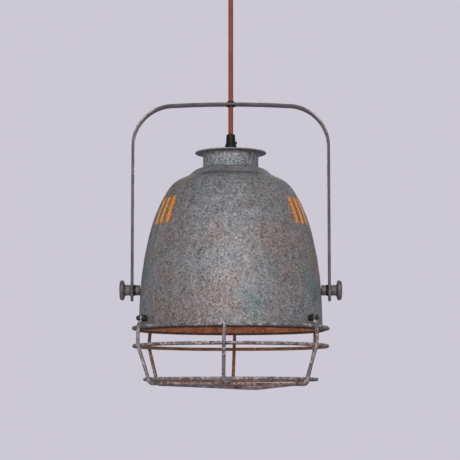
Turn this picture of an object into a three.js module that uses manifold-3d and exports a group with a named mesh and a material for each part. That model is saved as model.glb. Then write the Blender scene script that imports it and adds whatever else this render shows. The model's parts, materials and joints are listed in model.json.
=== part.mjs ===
// Pendant ceiling light: bell-shaped metal shade with vent slots, a bent strap
// handle pivoting on two side knobs, a welded wire guard, a textile cord and a
// ceiling canopy. Millimetres, +Z up, origin on the ceiling at the lamp's axis.
// Directions round the axis are given in degrees from -Y, growing towards +X.
import * as THREE from 'three';
import { mergeVertices } from 'three/addons/utils/BufferGeometryUtils.js';
import Module from 'manifold-3d';

// ---------------------------------------------------------------- dimensions
const CEIL = 620;            // ceiling above the datum the lamp's heights count from
const GAP = 0.3;             // clearance between pieces that touch
const WALL = 1.3;            // shade sheet thickness
const SHADE_SEG = 40;

const PIVOT_Z = 142;         // side pivots
const STRAP_X = 128.5;       // middle of the handle's legs
const STRAP_T = 3.2;         // strap thickness
const STRAP_W = 15;          // strap width
const STRAP_TOP = 388.9;     // top of the handle
const STRAP_R = 55;          // corner radius, outside
const STRAP_ARCH = 2;        // rise of the handle's top between its corners
const STRAP_END = 127.6;     // rounded lower ends

const CORD_R = 3.25;         // textile cord
const SWING_Z = 554;         // where the cord leaves the ceiling grip
const GROMMET_R = 7.1;

const NECK_R = 36.4;         // collar between shade and cap
const NECK_Z0 = 302.1;
const CAP_R = 46.9;          // cap disc on the collar
const CAP_Z0 = 321.5;
const CAP_Z1 = 323.1;

const WIRE_R = 2.3;          // guard wire
const RING_TOP = { r: 126.0, z: 92.3 };
const RING_MID = { r: 125.3, z: 69.3 };
const RING_LOW = { r: 111.0, z: 26.3 };
const LEG_OUT = 2 * WIRE_R + GAP;    // legs lie outside the rings
const BEND_R = 6.5;          // bend of a leg under the bottom ring
const FIX_Z = 103;           // guard screws
const FIX_AZ = [-64, 56, 177];
const SLOT_AZ = [-59.7, 62.6, 181.5];    // middle of each vent group
const SLOT_STEP = 8.2;       // degrees between neighbouring slots
const SLOT_W = 6.8;
const SLOT_Z = [223.6, 259.8];

// outer profile of the shade, [radius, height], from the neck to the rim
const PROFILE = [
  [36.1, 301.8], [41.2, 301.1], [46.4, 299.2], [50.4, 296.3], [54.2, 293.0], [58.6, 290.2],
  [63.0, 288.2], [67.2, 286.2], [71.7, 283.6], [75.9, 280.2], [83.2, 271],
  [92.0, 255], [98.6, 239.4], [104.8, 220], [110.1, 196], [114.2, 172], [117.2, 143],
  [118.8, 110], [119.2, 97], [120.0, 92.4], [121.6, 89.4],
];

// ------------------------------------------------------------------- helpers
const wasm = await Module();
wasm.setup();
const D2R = Math.PI / 180;
const dir = (az) => [Math.sin(az * D2R), -Math.cos(az * D2R)];

function clean(geo) {
  let g = geo.clone();
  for (const k of Object.keys(g.attributes)) if (k !== 'position') g.deleteAttribute(k);
  g = mergeVertices(g, 1e-4);
  const p = g.attributes.position, idx = g.index.array, out = [];
  for (let i = 0; i < idx.length; i += 3) {
    const [a, b, c] = [idx[i], idx[i + 1], idx[i + 2]];
    if (a !== b && b !== c && a !== c) out.push(a, b, c);
  }
  let vol = 0;
  const A = new THREE.Vector3(), B = new THREE.Vector3(), C = new THREE.Vector3();
  for (let i = 0; i < out.length; i += 3) {
    A.fromBufferAttribute(p, out[i]); B.fromBufferAttribute(p, out[i + 1]); C.fromBufferAttribute(p, out[i + 2]);
    vol += A.dot(B.cross(C));
  }
  if (vol < 0) for (let i = 0; i < out.length; i += 3) [out[i + 1], out[i + 2]] = [out[i + 2], out[i + 1]];
  const r = new THREE.BufferGeometry();
  r.setAttribute('position', p.clone());
  r.setIndex(out);
  return mergeVertices(r, 1e-4);
}
function toSolid(geo) {
  const g = clean(geo);
  return new wasm.Manifold(new wasm.Mesh({
    numProp: 3,
    vertProperties: new Float32Array(g.attributes.position.array),
    triVerts: new Uint32Array(g.index.array),
  }));
}
function fromSolid(s) {
  const m = s.getMesh();
  const g = new THREE.BufferGeometry();
  g.setAttribute('position', new THREE.BufferAttribute(new Float32Array(m.vertProperties), 3));
  g.setIndex(new THREE.BufferAttribute(new Uint32Array(m.triVerts), 1));
  return g;
}
function cut(base, ...tools) {
  let s = toSolid(base);
  for (const t of tools) s = s.subtract(toSolid(t));
  return fromSolid(s);
}
function join(base, ...more) {
  let s = toSolid(base);
  for (const t of more) s = s.add(toSolid(t));
  return fromSolid(s);
}
// revolve [radius, height] pairs about +Z; a profile off the axis closes on itself
function turn(pts, seg = 32, close = true) {
  const v = pts.map(([r, z]) => new THREE.Vector2(r, z));
  if (close && (pts[0][0] > 1e-6 || pts.at(-1)[0] > 1e-6)) v.push(v[0].clone());
  const g = new THREE.LatheGeometry(v, seg);
  g.rotateX(Math.PI / 2);
  return clean(g);
}
const tubeRing = (ri, ro, z0, z1, seg = 24) => turn([[ri, z0], [ro, z0], [ro, z1], [ri, z1]], seg);
function rod(r, z0, z1, seg = 16) {
  return turn([[0, z0], [r, z0], [r, z1], [0, z1]], seg, false);
}
function hexNut(af, bore, z0, z1) {
  const s = new THREE.Shape(), R = af / Math.sqrt(3);
  for (let i = 0; i <= 6; i++) {
    const a = (i % 6) * 60 * D2R;
    s[i ? 'lineTo' : 'moveTo'](R * Math.cos(a), R * Math.sin(a));
  }
  const h = new THREE.Path();
  h.absarc(0, 0, bore, 0, 2 * Math.PI, true);
  s.holes.push(h);
  const g = new THREE.ExtrudeGeometry(s, { depth: z1 - z0, bevelEnabled: false, curveSegments: 7 });
  g.translate(0, 0, z0);
  return clean(g);
}
function box(x0, x1, y0, y1, z0, z1) {
  const g = new THREE.BoxGeometry(x1 - x0, y1 - y0, z1 - z0);
  g.translate((x0 + x1) / 2, (y0 + y1) / 2, (z0 + z1) / 2);
  return g;
}
// a piece built along +Z from 0, laid along the outward direction az at height z
function outward(geo, az, z) {
  const g = geo.clone();
  g.rotateY(Math.PI / 2);                 // +Z -> +X
  g.rotateZ((az - 90) * D2R);
  g.translate(0, 0, z);
  return g;
}
function circleShape(r, n) {
  const s = new THREE.Shape();
  for (let i = 0; i < n; i++) {
    const a = (i / n) * 2 * Math.PI;
    s[i ? 'lineTo' : 'moveTo'](r * Math.cos(a), r * Math.sin(a));
  }
  s.closePath();
  return s;
}
function tube(points, r, sides, steps, curveType = 'centripetal') {
  const curve = new THREE.CatmullRomCurve3(points.map((p) => new THREE.Vector3(...p)), false, curveType);
  const g = new THREE.ExtrudeGeometry(circleShape(r, sides), { steps, extrudePath: curve, bevelEnabled: false });
  return clean(g);
}

// ----------------------------------------------------------------- materials
const M = {
  metal: new THREE.MeshStandardMaterial({ color: 0x83807b, metalness: 0.4, roughness: 0.75 }),
  strap: new THREE.MeshStandardMaterial({ color: 0x77736d, metalness: 0.5, roughness: 0.6 }),
  wire: new THREE.MeshStandardMaterial({ color: 0x8a8078, metalness: 0.4, roughness: 0.7 }),
  black: new THREE.MeshStandardMaterial({ color: 0x18181a, metalness: 0, roughness: 0.5 }),
  cord: new THREE.MeshStandardMaterial({ color: 0x8c4a3a, metalness: 0, roughness: 0.8 }),
  steel: new THREE.MeshStandardMaterial({ color: 0xb0b0ae, metalness: 0.9, roughness: 0.35 }),
  brass: new THREE.MeshStandardMaterial({ color: 0xc8a255, metalness: 0.9, roughness: 0.35 }),
  ceramic: new THREE.MeshStandardMaterial({ color: 0xe8e4da, metalness: 0, roughness: 0.4 }),
  bulb: new THREE.MeshStandardMaterial({ color: 0xfff2dc, metalness: 0, roughness: 0.3 }),
  lead: new THREE.MeshStandardMaterial({ color: 0x5a4632, metalness: 0, roughness: 0.6 }),
};
const light = new THREE.Group();
light.name = 'pendant_light';
function add(name, geo, mat) {
  const g = clean(geo);
  g.translate(0, 0, -CEIL);
  g.computeVertexNormals();
  const m = new THREE.Mesh(g, mat);
  m.name = name;
  light.add(m);
}

// ------------------------------------------------------------ ceiling fixing
const BAR_T = 3, EAR_X = 47.6;
{
  const arm = join(
    box(-EAR_X, EAR_X, -8, 8, CEIL - BAR_T, CEIL),
    box(EAR_X - BAR_T, EAR_X, -8, 8, CEIL - 18, CEIL - 0.5),
    box(-EAR_X, -EAR_X + BAR_T, -8, 8, CEIL - 18, CEIL - 0.5),
  );
  const hole = (x) => { const g = rod(2.4, CEIL - 6, CEIL + 3, 16); g.translate(x, 0, 0); return g; };
  const side = (az) => outward(rod(1.9, 40, 50, 12), az, CEIL - 12);
  add('ceiling_crossbar', cut(arm, hole(28), hole(-28), side(90), side(-90)), M.steel);
}
{
  // domed cup, open towards the ceiling
  const o = [[5.3, 572], [40, 572], [45.4, 573.4], [48.6, 576.6], [50, 582], [50, CEIL - 0.3]];
  const i = [[48.8, CEIL - 0.3], [48.8, 582.3], [47.6, 577.5], [44.8, 574.5], [39.8, 573.2], [5.3, 573.2]];
  const side = (az) => outward(rod(2.2, 46, 54, 12), az, CEIL - 12);
  add('canopy_cup', cut(turn([...o, ...i], 30), side(90), side(-90)), M.metal);
}
for (const [n, az] of [['right', 90], ['left', -90]]) {
  const s = turn([[0, 43], [1.6, 43], [1.6, 50.3], [3.6, 50.3], [3.2, 51.7], [1.8, 52.5], [0, 52.7]], 16, false);
  add(`canopy_screw_${n}`, outward(s, az, CEIL - 12), M.steel);
}
{
  // threaded cord grip with a flared mouth
  const g = turn([
    [7.2, 550], [8.1, 550.8], [8.1, 568], [9.6, 568.4], [9.6, 571.7], [4.9, 571.7], [4.9, 584],
    [3.7, 584], [3.7, 558.5], [4.6, 554.5],
  ], 20);
  add('canopy_grip', cut(g, outward(rod(2.1, 3, 12, 12), 0, 563)), M.black);
  const s = turn([[0, 3.9], [1.8, 3.9], [1.8, 8.6], [0, 8.6]], 12, false);
  add('canopy_grip_screw', outward(s, 0, 563), M.steel);
  add('canopy_grip_nut', hexNut(14, 5.2, 573.5, 577), M.steel);
}
{
  add('terminal_block', box(-15, 15, -7, 7, CEIL - 18.5, CEIL - BAR_T - GAP), M.ceramic);
  const leads = [['live', -8], ['earth', 0], ['neutral', 8]];
  for (const [n, x] of leads) {
    const k = x / 8;
    add(`lead_${n}`, tube([[k * 2.1, n === 'earth' ? 1.2 : -0.9, 590.4], [k * 3.4, n === 'earth' ? 1 : -0.8, 593.5], [k * 7, 0, 597.6], [x, 0, CEIL - 18.8]], 0.85, 8, 8), M.lead);
  }
  add('cord_tail', rod(CORD_R, SWING_Z + 2.3, 590.1, 12), M.cord);
}
add('cord_bend', rod(CORD_R, SWING_Z - 2, SWING_Z + 2, 12), M.cord);

// --------------------------------------------------------------------- cords
add('cord_upper', tube([[0, 0, 385.9], [0, 0, 440], [0, 0, 500], [0, 0, SWING_Z - 2.3]], CORD_R, 10, 8), M.cord);
add('cord_lower', tube([[0, 0, 312.6], [0, 0, 335], [0, 0, 352], [0, 0, 370], [0, 0, 385.6]], CORD_R, 10, 8), M.cord);

// -------------------------------------------------------------------- handle
{
  const xo = STRAP_X + STRAP_T / 2, xi = STRAP_X - STRAP_T / 2;
  const zt = STRAP_TOP - STRAP_ARCH, zi = zt - STRAP_T, ri = STRAP_R - STRAP_T;
  const s = new THREE.Shape();
  s.moveTo(-xo, STRAP_END);
  s.lineTo(-xo, zt - STRAP_R);
  s.absarc(-xo + STRAP_R, zt - STRAP_R, STRAP_R, Math.PI, Math.PI / 2, true);
  s.quadraticCurveTo(0, zt + 2 * STRAP_ARCH, xo - STRAP_R, zt);
  s.absarc(xo - STRAP_R, zt - STRAP_R, STRAP_R, Math.PI / 2, 0, true);
  s.lineTo(xo, STRAP_END);
  s.lineTo(xi, STRAP_END);
  s.lineTo(xi, zi - ri);
  s.absarc(xi - ri, zi - ri, ri, 0, Math.PI / 2, false);
  s.quadraticCurveTo(0, zi + 2 * STRAP_ARCH, -xi + ri, zi);
  s.absarc(-xi + ri, zi - ri, ri, Math.PI / 2, Math.PI, false);
  s.lineTo(-xi, STRAP_END);
  s.closePath();
  const u = new THREE.ExtrudeGeometry(s, { depth: STRAP_W, bevelEnabled: false, curveSegments: 9 });
  u.rotateX(Math.PI / 2);
  u.translate(0, STRAP_W / 2, 0);
  // rounded lower ends, seen from the side
  const w = STRAP_W / 2;
  const e = new THREE.Shape();
  e.moveTo(-w, STRAP_TOP + 5); e.lineTo(-w, STRAP_END + w);
  e.absarc(0, STRAP_END + w, w, Math.PI, 2 * Math.PI, false);
  e.lineTo(w, STRAP_TOP + 5); e.closePath();
  const side = new THREE.ExtrudeGeometry(e, { depth: 300, bevelEnabled: false, curveSegments: 10 });
  side.rotateX(Math.PI / 2); side.rotateZ(Math.PI / 2); side.translate(0, 0, 0);
  side.computeBoundingBox();
  const bb = side.boundingBox;
  side.translate(-(bb.min.x + bb.max.x) / 2, -(bb.min.y + bb.max.y) / 2, 0);
  let body = toSolid(u).intersect(toSolid(side));
  body = body.subtract(toSolid(rod(4.9, STRAP_TOP - 10, STRAP_TOP + 5, 24)));
  body = body.subtract(toSolid(outward(rod(3.4, 120, 135, 20), 90, PIVOT_Z)));
  body = body.subtract(toSolid(outward(rod(3.4, 120, 135, 20), -90, PIVOT_Z)));
  add('handle_strap', fromSolid(body), M.strap);
  // bush round the cord: domed head above, flange below
  const t = STRAP_TOP, b = STRAP_TOP - STRAP_T;
  add('handle_grommet', turn([
    [3.6, b - 2.6], [GROMMET_R - 0.8, b - 2.6], [GROMMET_R, b - 1.8], [GROMMET_R, b - GAP], [4.6, b - GAP], [4.6, t + GAP],
    [5.9, t + GAP], [5.6, t + 1.3], [4.7, t + 2.4], [3.6, t + 2.8],
  ], 20), M.black);
}

// ------------------------------------------------------- pivots on both sides
const wallAt = (z) => {
  for (let i = 1; i < PROFILE.length; i++) {
    const [r0, z0] = PROFILE[i - 1], [r1, z1] = PROFILE[i];
    if (z <= z0 && z >= z1) return r0 + (r1 - r0) * (z0 - z) / (z0 - z1);
  }
  return PROFILE.at(-1)[0];
};
{
  const rw = wallAt(PIVOT_Z), xi = STRAP_X - STRAP_T / 2, xo = STRAP_X + STRAP_T / 2;
  for (const [n, az] of [['right', 90], ['left', -90]]) {
    const put = (g) => outward(g, az, PIVOT_Z);
    add(`pivot_stud_${n}`, put(rod(2.9, 109.5, 141.4, 14)), M.steel);
    add(`pivot_nut_${n}`, put(hexNut(10, 3.2, rw - WALL - 5.2, rw - WALL - 0.7)), M.steel);
    add(`pivot_spacer_${n}`, put(tubeRing(3.2, 6.8, rw + 0.75, 123.6, 18)), M.strap);
    add(`friction_washer_${n}`, put(turn([[3.2, 123.9], [6.9, 123.9], [7.3, 124.4], [7.3, 126.1], [6.9, xi - GAP], [3.2, xi - GAP]], 18)), M.black);
    add(`outer_washer_${n}`, put(tubeRing(3.2, 7.4, xo + GAP, xo + 1.3, 18)), M.steel);
    const k = xo + 1.6;
    add(`knob_${n}`, put(turn([
      [0, 142], [3.2, 142], [3.2, k], [6.5, k], [6.95, k + 0.5], [6.95, 137.0], [12.3, 137.3],
      [13.1, 139.4], [12.7, 142.2], [10.8, 144.2], [6.0, 144.8], [0, 144.9],
    ], 24, false)), M.strap);
  }
}

// --------------------------------------------------------------------- shade
{
  const inner = [];
  for (let i = 0; i < PROFILE.length; i++) {
    const a = PROFILE[Math.max(0, i - 1)], b = PROFILE[Math.min(PROFILE.length - 1, i + 1)];
    const dx = b[0] - a[0], dz = b[1] - a[1], L = Math.hypot(dx, dz);
    inner.push([PROFILE[i][0] + (dz / L) * WALL, PROFILE[i][1] - (dx / L) * WALL]);
  }
  inner[0] = [36.1, 301.8 - WALL];
  const n = inner.length;
  inner[n - 1] = [120.6, 88.6];
  inner[n - 2] = [118.8, 91.8];
  const inside = inner.filter((p, i) => i >= n - 2 || i % 2 === 0);
  const shell = turn([...PROFILE, ...inside.reverse()], SHADE_SEG);
  const tools = [];
  for (const az of SLOT_AZ) {
    for (const k of [-1, 0, 1]) {
      const h = (SLOT_Z[1] - SLOT_Z[0]) / 2 - SLOT_W / 2, s = new THREE.Shape();
      s.absarc(0, h, SLOT_W / 2, 0, Math.PI, false);
      s.absarc(0, -h, SLOT_W / 2, Math.PI, 2 * Math.PI, false);
      s.closePath();
      const g = new THREE.ExtrudeGeometry(s, { depth: 50, bevelEnabled: false, curveSegments: 4 });
      g.rotateX(Math.PI / 2);                       // shape upright, depth along -Y
      g.rotateZ((az + k * SLOT_STEP) * D2R);
      g.computeBoundingBox();
      const [dx, dy] = dir(az + k * SLOT_STEP);
      g.translate(dx * 78, dy * 78, (SLOT_Z[0] + SLOT_Z[1]) / 2);
      tools.push(g);
    }
  }
  for (const az of [90, -90]) tools.push(outward(rod(3.3, 105, 130, 16), az, PIVOT_Z));
  for (const az of FIX_AZ) tools.push(outward(rod(2.0, 108, 130, 12), az, FIX_Z));
  add('shade_shell', cut(shell, ...tools), M.metal);
}
add('neck_collar', turn([
  [34.6, 296.4], [35.7, 296.4], [35.7, NECK_Z0], [NECK_R, NECK_Z0], [NECK_R, 318.2], [37.2, 320.4],
  [39.6, CAP_Z0 - GAP], [34.9, CAP_Z0 - GAP], [34.9, NECK_Z0],
], 36), M.metal);
add('neck_cap', turn([
  [5.3, CAP_Z0], [45.9, CAP_Z0], [46.7, CAP_Z0 + 0.3], [CAP_R, CAP_Z0 + 0.8], [46.7, CAP_Z1 - 0.3], [45.9, CAP_Z1], [5.3, CAP_Z1],
], 36), M.metal);

// ------------------------------------------------- strain relief and nipple
{
  const g = turn([
    [5.2, CAP_Z1 + GAP], [7.4, CAP_Z1 + GAP], [7.6, CAP_Z1 + 0.8], [7.6, 333.2], [7.2, 333.8], [6.4, 334.0], [6.2, 338],
    [5.7, 345.8], [5.2, 347.1], [3.6, 347.1], [3.6, 332.2], [5.2, 332.2],
  ], 20);
  add('cord_gland', cut(g, outward(rod(1.8, 3, 9, 12), 90, 336.2)), M.black);
  add('gland_screw', outward(turn([[0, 3.9], [1.5, 3.9], [1.5, 6.8], [1.9, 7.0], [1.9, 8.0], [0, 8.2]], 12, false), 90, 336.2), M.black);
  add('threaded_nipple', tubeRing(3.6, 4.9, 305.5, 331.8, 20), M.steel);
  add('nipple_nut', hexNut(14, 5.2, 317.6, CAP_Z0 - GAP), M.steel);
}

// ---------------------------------------------------------------- lampholder
add('lampholder_cap', turn([
  [5.2, 317], [10, 317], [16, 315.6], [19.8, 312.4], [21.6, 307.5], [22, 300], [22, 291.3],
  [20.4, 291.3], [20.4, 300], [20, 306.8], [18.4, 311.2], [15.3, 314.1], [9.8, 315.4], [5.2, 315.4],
], 20), M.black);
add('lampholder_body', turn([
  [22, 291], [22, 287.5], [20.6, 286.5], [20.2, 262], [19.4, 258], [17.4, 258], [17.4, 291],
], 20), M.black);
add('lampholder_core', turn([[0, 297], [17, 297], [17, 290.5], [16.9, 284.6], [0, 284.6]], 24, false), M.ceramic);
add('lampholder_sleeve', tubeRing(14.6, 15.6, 260, 284.3, 20), M.brass);
add('lampholder_contact', box(-5, 5, -2, 2, 283.3, 284.3), M.brass);

// ---------------------------------------------------------------------- bulb
add('bulb_contact', turn([[0, 282.9], [3.2, 282.9], [4.6, 281.6], [4.6, 281.2], [0, 281.2]], 16, false), M.steel);
add('bulb_cap', turn([
  [0, 280.9], [6, 280.9], [12, 278.2], [13.2, 276.8], [13.2, 256.5], [12.2, 256.5], [12.2, 276.2], [11.4, 277.2], [5.8, 279.7], [0, 279.7],
], 20, false), M.steel);
{
  const out = [[11.6, 274], [11.7, 252], [17, 238], [26.4, 221.5], [30, 203], [26, 184.5], [14.6, 172.6], [0, 169.3]];
  const inn = [[0, 170.4], [14.0, 173.6], [25.0, 185], [28.9, 203], [25.5, 221], [16.0, 237.6], [10.7, 252], [10.7, 274]];
  const v = [...out, ...inn];
  v.push(out[0]);
  const g = new THREE.LatheGeometry(v.map(([r, z]) => new THREE.Vector2(r, z)), 24);
  g.rotateX(Math.PI / 2);
  add('bulb_glass', g, M.bulb);
}

// --------------------------------------------------------------------- guard
for (const [n, R] of [['top', RING_TOP], ['middle', RING_MID], ['bottom', RING_LOW]]) {
  const g = new THREE.TorusGeometry(R.r, WIRE_R, 7, 40);
  g.translate(0, 0, R.z);
  add(`guard_ring_${n}`, g, M.wire);
}
{
  const lt = RING_TOP.r + LEG_OUT, lm = RING_MID.r + LEG_OUT, lb = RING_LOW.r + LEG_OUT;
  const bend = { r: RING_LOW.r - 1.25, z: RING_LOW.z + 0.85 };
  const zu = bend.z - BEND_R;
  const at = (az, r, z) => { const [x, y] = dir(az); return [x * r, y * r, z]; };
  // a leg from its upper end down to where it passes under the bottom ring; it is bent by
  // hand, so it crosses the top, middle and bottom rings at slightly different azimuths
  const leg = ([az, at1, at2, at3], tab) => {
    const p = tab
      ? [at(az, 127.9, 97.9), at((az + at1) / 2, 129.6, 95.8), at(at1, lt, 92.3)]
      : [at(at1, lt - 0.2, 97.5), at(at1, lt, 92.3)];
    const f = (z) => Math.min(1, Math.max(0, (RING_MID.z - z) / (RING_MID.z - RING_LOW.z)));
    const lean = (z) => at(at2 + (at3 - at2) * f(z), lm + (lb - lm) * f(z), z);
    p.push(at((at1 + at2) / 2, lt, 82), at(at2, lm, 71.5), lean(66.5), lean(56), lean(44), lean(34),
      ...[0, 22.5, 45, 67.5, 90].map((t) => at(at3, bend.r + BEND_R * Math.cos(t * D2R), bend.z - BEND_R * Math.sin(t * D2R))),
      at(at3, bend.r - 3.6, zu));
    return p;
  };
  // three U-shaped wires; below the bottom ring each crosses the other two at its own height
  const U = [
    ['a', [-64, -62.8, -64.2, -63.6], [120.5, 120.5, 120.3, 118], [14, 0], 20.2],
    ['b', [56, 55.4, 55.8, 55.4], [-124.2, -124.2, -122.8, -121.5], [32, -2], 15.2],
    ['c', [177, 177.6, 177.9, 178.4], [-3.4, -3.4, -3.7, -4.4], [-2, 0], 25.1],
  ];
  for (const [n, azs1, azs2, [mx, my], zm] of U) {
    const az1 = azs1[0];
    const a = leg(azs1, true), b = leg(azs2, false).reverse();
    const mid = (az, f) => { const q = at(az, bend.r - 3.6, zu); return [q[0] * f + mx * (1 - f), q[1] * f + my * (1 - f), zu * f + zm * (1 - f)]; };
    const pts = [...a, mid(azs1[3], 0.7), mid(azs1[3], 0.38), [mx, my, zm], mid(azs2[3], 0.38), mid(azs2[3], 0.7), ...b];
    const wire = tube(pts, WIRE_R, 6, 60);
    // flattened end with a hole for the guard screw
    const s = new THREE.Shape();
    s.moveTo(-2.4, -5.5); s.lineTo(2.4, -5.5); s.lineTo(3.3, -2);
    s.absarc(0, 0.6, 3.4, 0, Math.PI, false);
    s.lineTo(-3.3, -2); s.closePath();
    const g = new THREE.ExtrudeGeometry(s, { depth: 2.6, bevelEnabled: false, curveSegments: 8 });
    g.rotateX(Math.PI / 2); g.translate(0, 1.3, 0);      // upright, facing +-Y
    g.rotateZ(az1 * D2R);
    const [dx, dy] = dir(az1);
    g.translate(dx * 127.6, dy * 127.6, FIX_Z);
    const hole = outward(rod(1.9, 120, 135, 12), az1, FIX_Z);
    add(`guard_wire_${n}`, fromSolid(toSolid(wire).add(toSolid(g)).subtract(toSolid(hole))), M.wire);
  }
  const rw = wallAt(FIX_Z);
  FIX_AZ.forEach((az, i) => {
    const n = 'abc'[i], put = (g) => outward(g, az, FIX_Z);
    add(`guard_screw_${n}`, put(turn([
      [0, rw - 6.9], [1.6, rw - 6.9], [1.6, 129.2], [3.2, 129.2], [3.3, 130.3], [2.7, 131.7], [1.5, 132.5], [0, 132.8],
    ], 16, false)), M.black);
    add(`guard_spacer_${n}`, put(hexNut(7.6, 1.9, rw + 0.5, 126.0)), M.black);
    add(`guard_nut_${n}`, put(hexNut(6.2, 1.9, rw - WALL - 3.7, rw - WALL - 0.9)), M.steel);
  });
}

export default light;
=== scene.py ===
import json
import math

import bmesh
import bpy
from mathutils import Matrix, Vector, noise as mnoise


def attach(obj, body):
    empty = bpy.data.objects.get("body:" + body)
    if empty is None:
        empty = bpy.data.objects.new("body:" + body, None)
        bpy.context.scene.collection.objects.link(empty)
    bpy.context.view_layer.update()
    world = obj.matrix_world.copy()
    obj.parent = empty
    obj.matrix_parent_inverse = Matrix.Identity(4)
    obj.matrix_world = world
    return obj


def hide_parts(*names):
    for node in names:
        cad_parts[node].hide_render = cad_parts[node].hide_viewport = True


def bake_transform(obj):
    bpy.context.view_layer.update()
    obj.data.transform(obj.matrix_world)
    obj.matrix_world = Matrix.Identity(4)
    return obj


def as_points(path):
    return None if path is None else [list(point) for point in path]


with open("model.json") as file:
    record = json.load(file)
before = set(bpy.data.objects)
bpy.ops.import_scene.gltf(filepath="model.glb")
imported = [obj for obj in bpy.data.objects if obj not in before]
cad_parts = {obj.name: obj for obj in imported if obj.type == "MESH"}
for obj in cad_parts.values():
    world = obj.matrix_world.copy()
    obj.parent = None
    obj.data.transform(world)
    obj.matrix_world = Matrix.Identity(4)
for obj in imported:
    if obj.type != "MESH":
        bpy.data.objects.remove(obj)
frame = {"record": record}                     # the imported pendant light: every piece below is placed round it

# Geometry is written in millimetres, heights counted from the lamp's datum; the ceiling is at 620.
CEIL = 620.0
D2R = math.pi / 180
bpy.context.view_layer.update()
SLOT_OF = {s["node"]: s["material_slot"] for s in frame["record"]["subparts"]}
BODY_OF = {n: b for b, ns in frame["record"]["behaviour"]["bodies"].items() for n in ns}


# =============================================================== camera, light
def look_at(obj, target):
    d = Vector(target) - obj.location
    obj.rotation_euler = d.to_track_quat("-Z", "Y").to_euler()


cam_data = bpy.data.cameras.new("camera")
cam_data.sensor_width = 36.0
cam_data.lens = 123.65
cam_data.clip_start, cam_data.clip_end = 0.05, 60.0
cam = bpy.data.objects.new("camera", cam_data)
bpy.context.scene.collection.objects.link(cam)
cam.location = (-0.001, -2.054, -0.620)
cam.rotation_euler = ((90 + 6.14) * D2R, 0, 0)
bpy.context.scene.camera = cam
bpy.context.scene.view_settings.view_transform = "Standard"
bpy.context.scene.view_settings.look = "None"


def area(name, loc, target, size, power, color=(1, 1, 1)):
    data = bpy.data.lights.new(name, "AREA")
    data.shape = "RECTANGLE"
    data.size, data.size_y = size
    data.energy = power
    data.color = color
    obj = bpy.data.objects.new(name, data)
    bpy.context.scene.collection.objects.link(obj)
    obj.location = loc
    look_at(obj, target)
    obj.visible_camera = False
    return obj


area("key", (0.0, -2.6, 0.30), (0, 0, -0.40), (2.5, 1.4), 57, (1.0, 1.0, 1.0))
area("fill_left", (-2.3, 0.9, 0.1), (0, 0, -0.35), (1.4, 1.6), 3.0, (0.97, 0.98, 1.0))
area("fill_right", (2.3, 0.9, 0.1), (0, 0, -0.35), (1.4, 1.6), 3.0, (0.97, 0.98, 1.0))
area("fill_back", (0.2, 2.6, 0.5), (0, 0, -0.35), (1.6, 1.4), 22, (0.98, 0.98, 1.0))

world = bpy.data.worlds.new("studio")
bpy.context.scene.world = world
world.use_nodes = True
wn, wl = world.node_tree.nodes, world.node_tree.links
wn.clear()
w_out = wn.new("ShaderNodeOutputWorld")
w_mix = wn.new("ShaderNodeMixShader")
w_path = wn.new("ShaderNodeLightPath")
w_light = wn.new("ShaderNodeBackground")
w_light.inputs["Color"].default_value = (0.97, 0.975, 1.0, 1)
w_light.inputs["Strength"].default_value = 0.29
w_back = wn.new("ShaderNodeBackground")
w_back.inputs["Color"].default_value = (0.604, 0.583, 0.664, 1)
w_back.inputs["Strength"].default_value = 1.0
wl.new(w_path.outputs["Is Camera Ray"], w_mix.inputs["Fac"])
wl.new(w_light.outputs[0], w_mix.inputs[1])
wl.new(w_back.outputs[0], w_mix.inputs[2])
wl.new(w_mix.outputs[0], w_out.inputs["Surface"])


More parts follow.
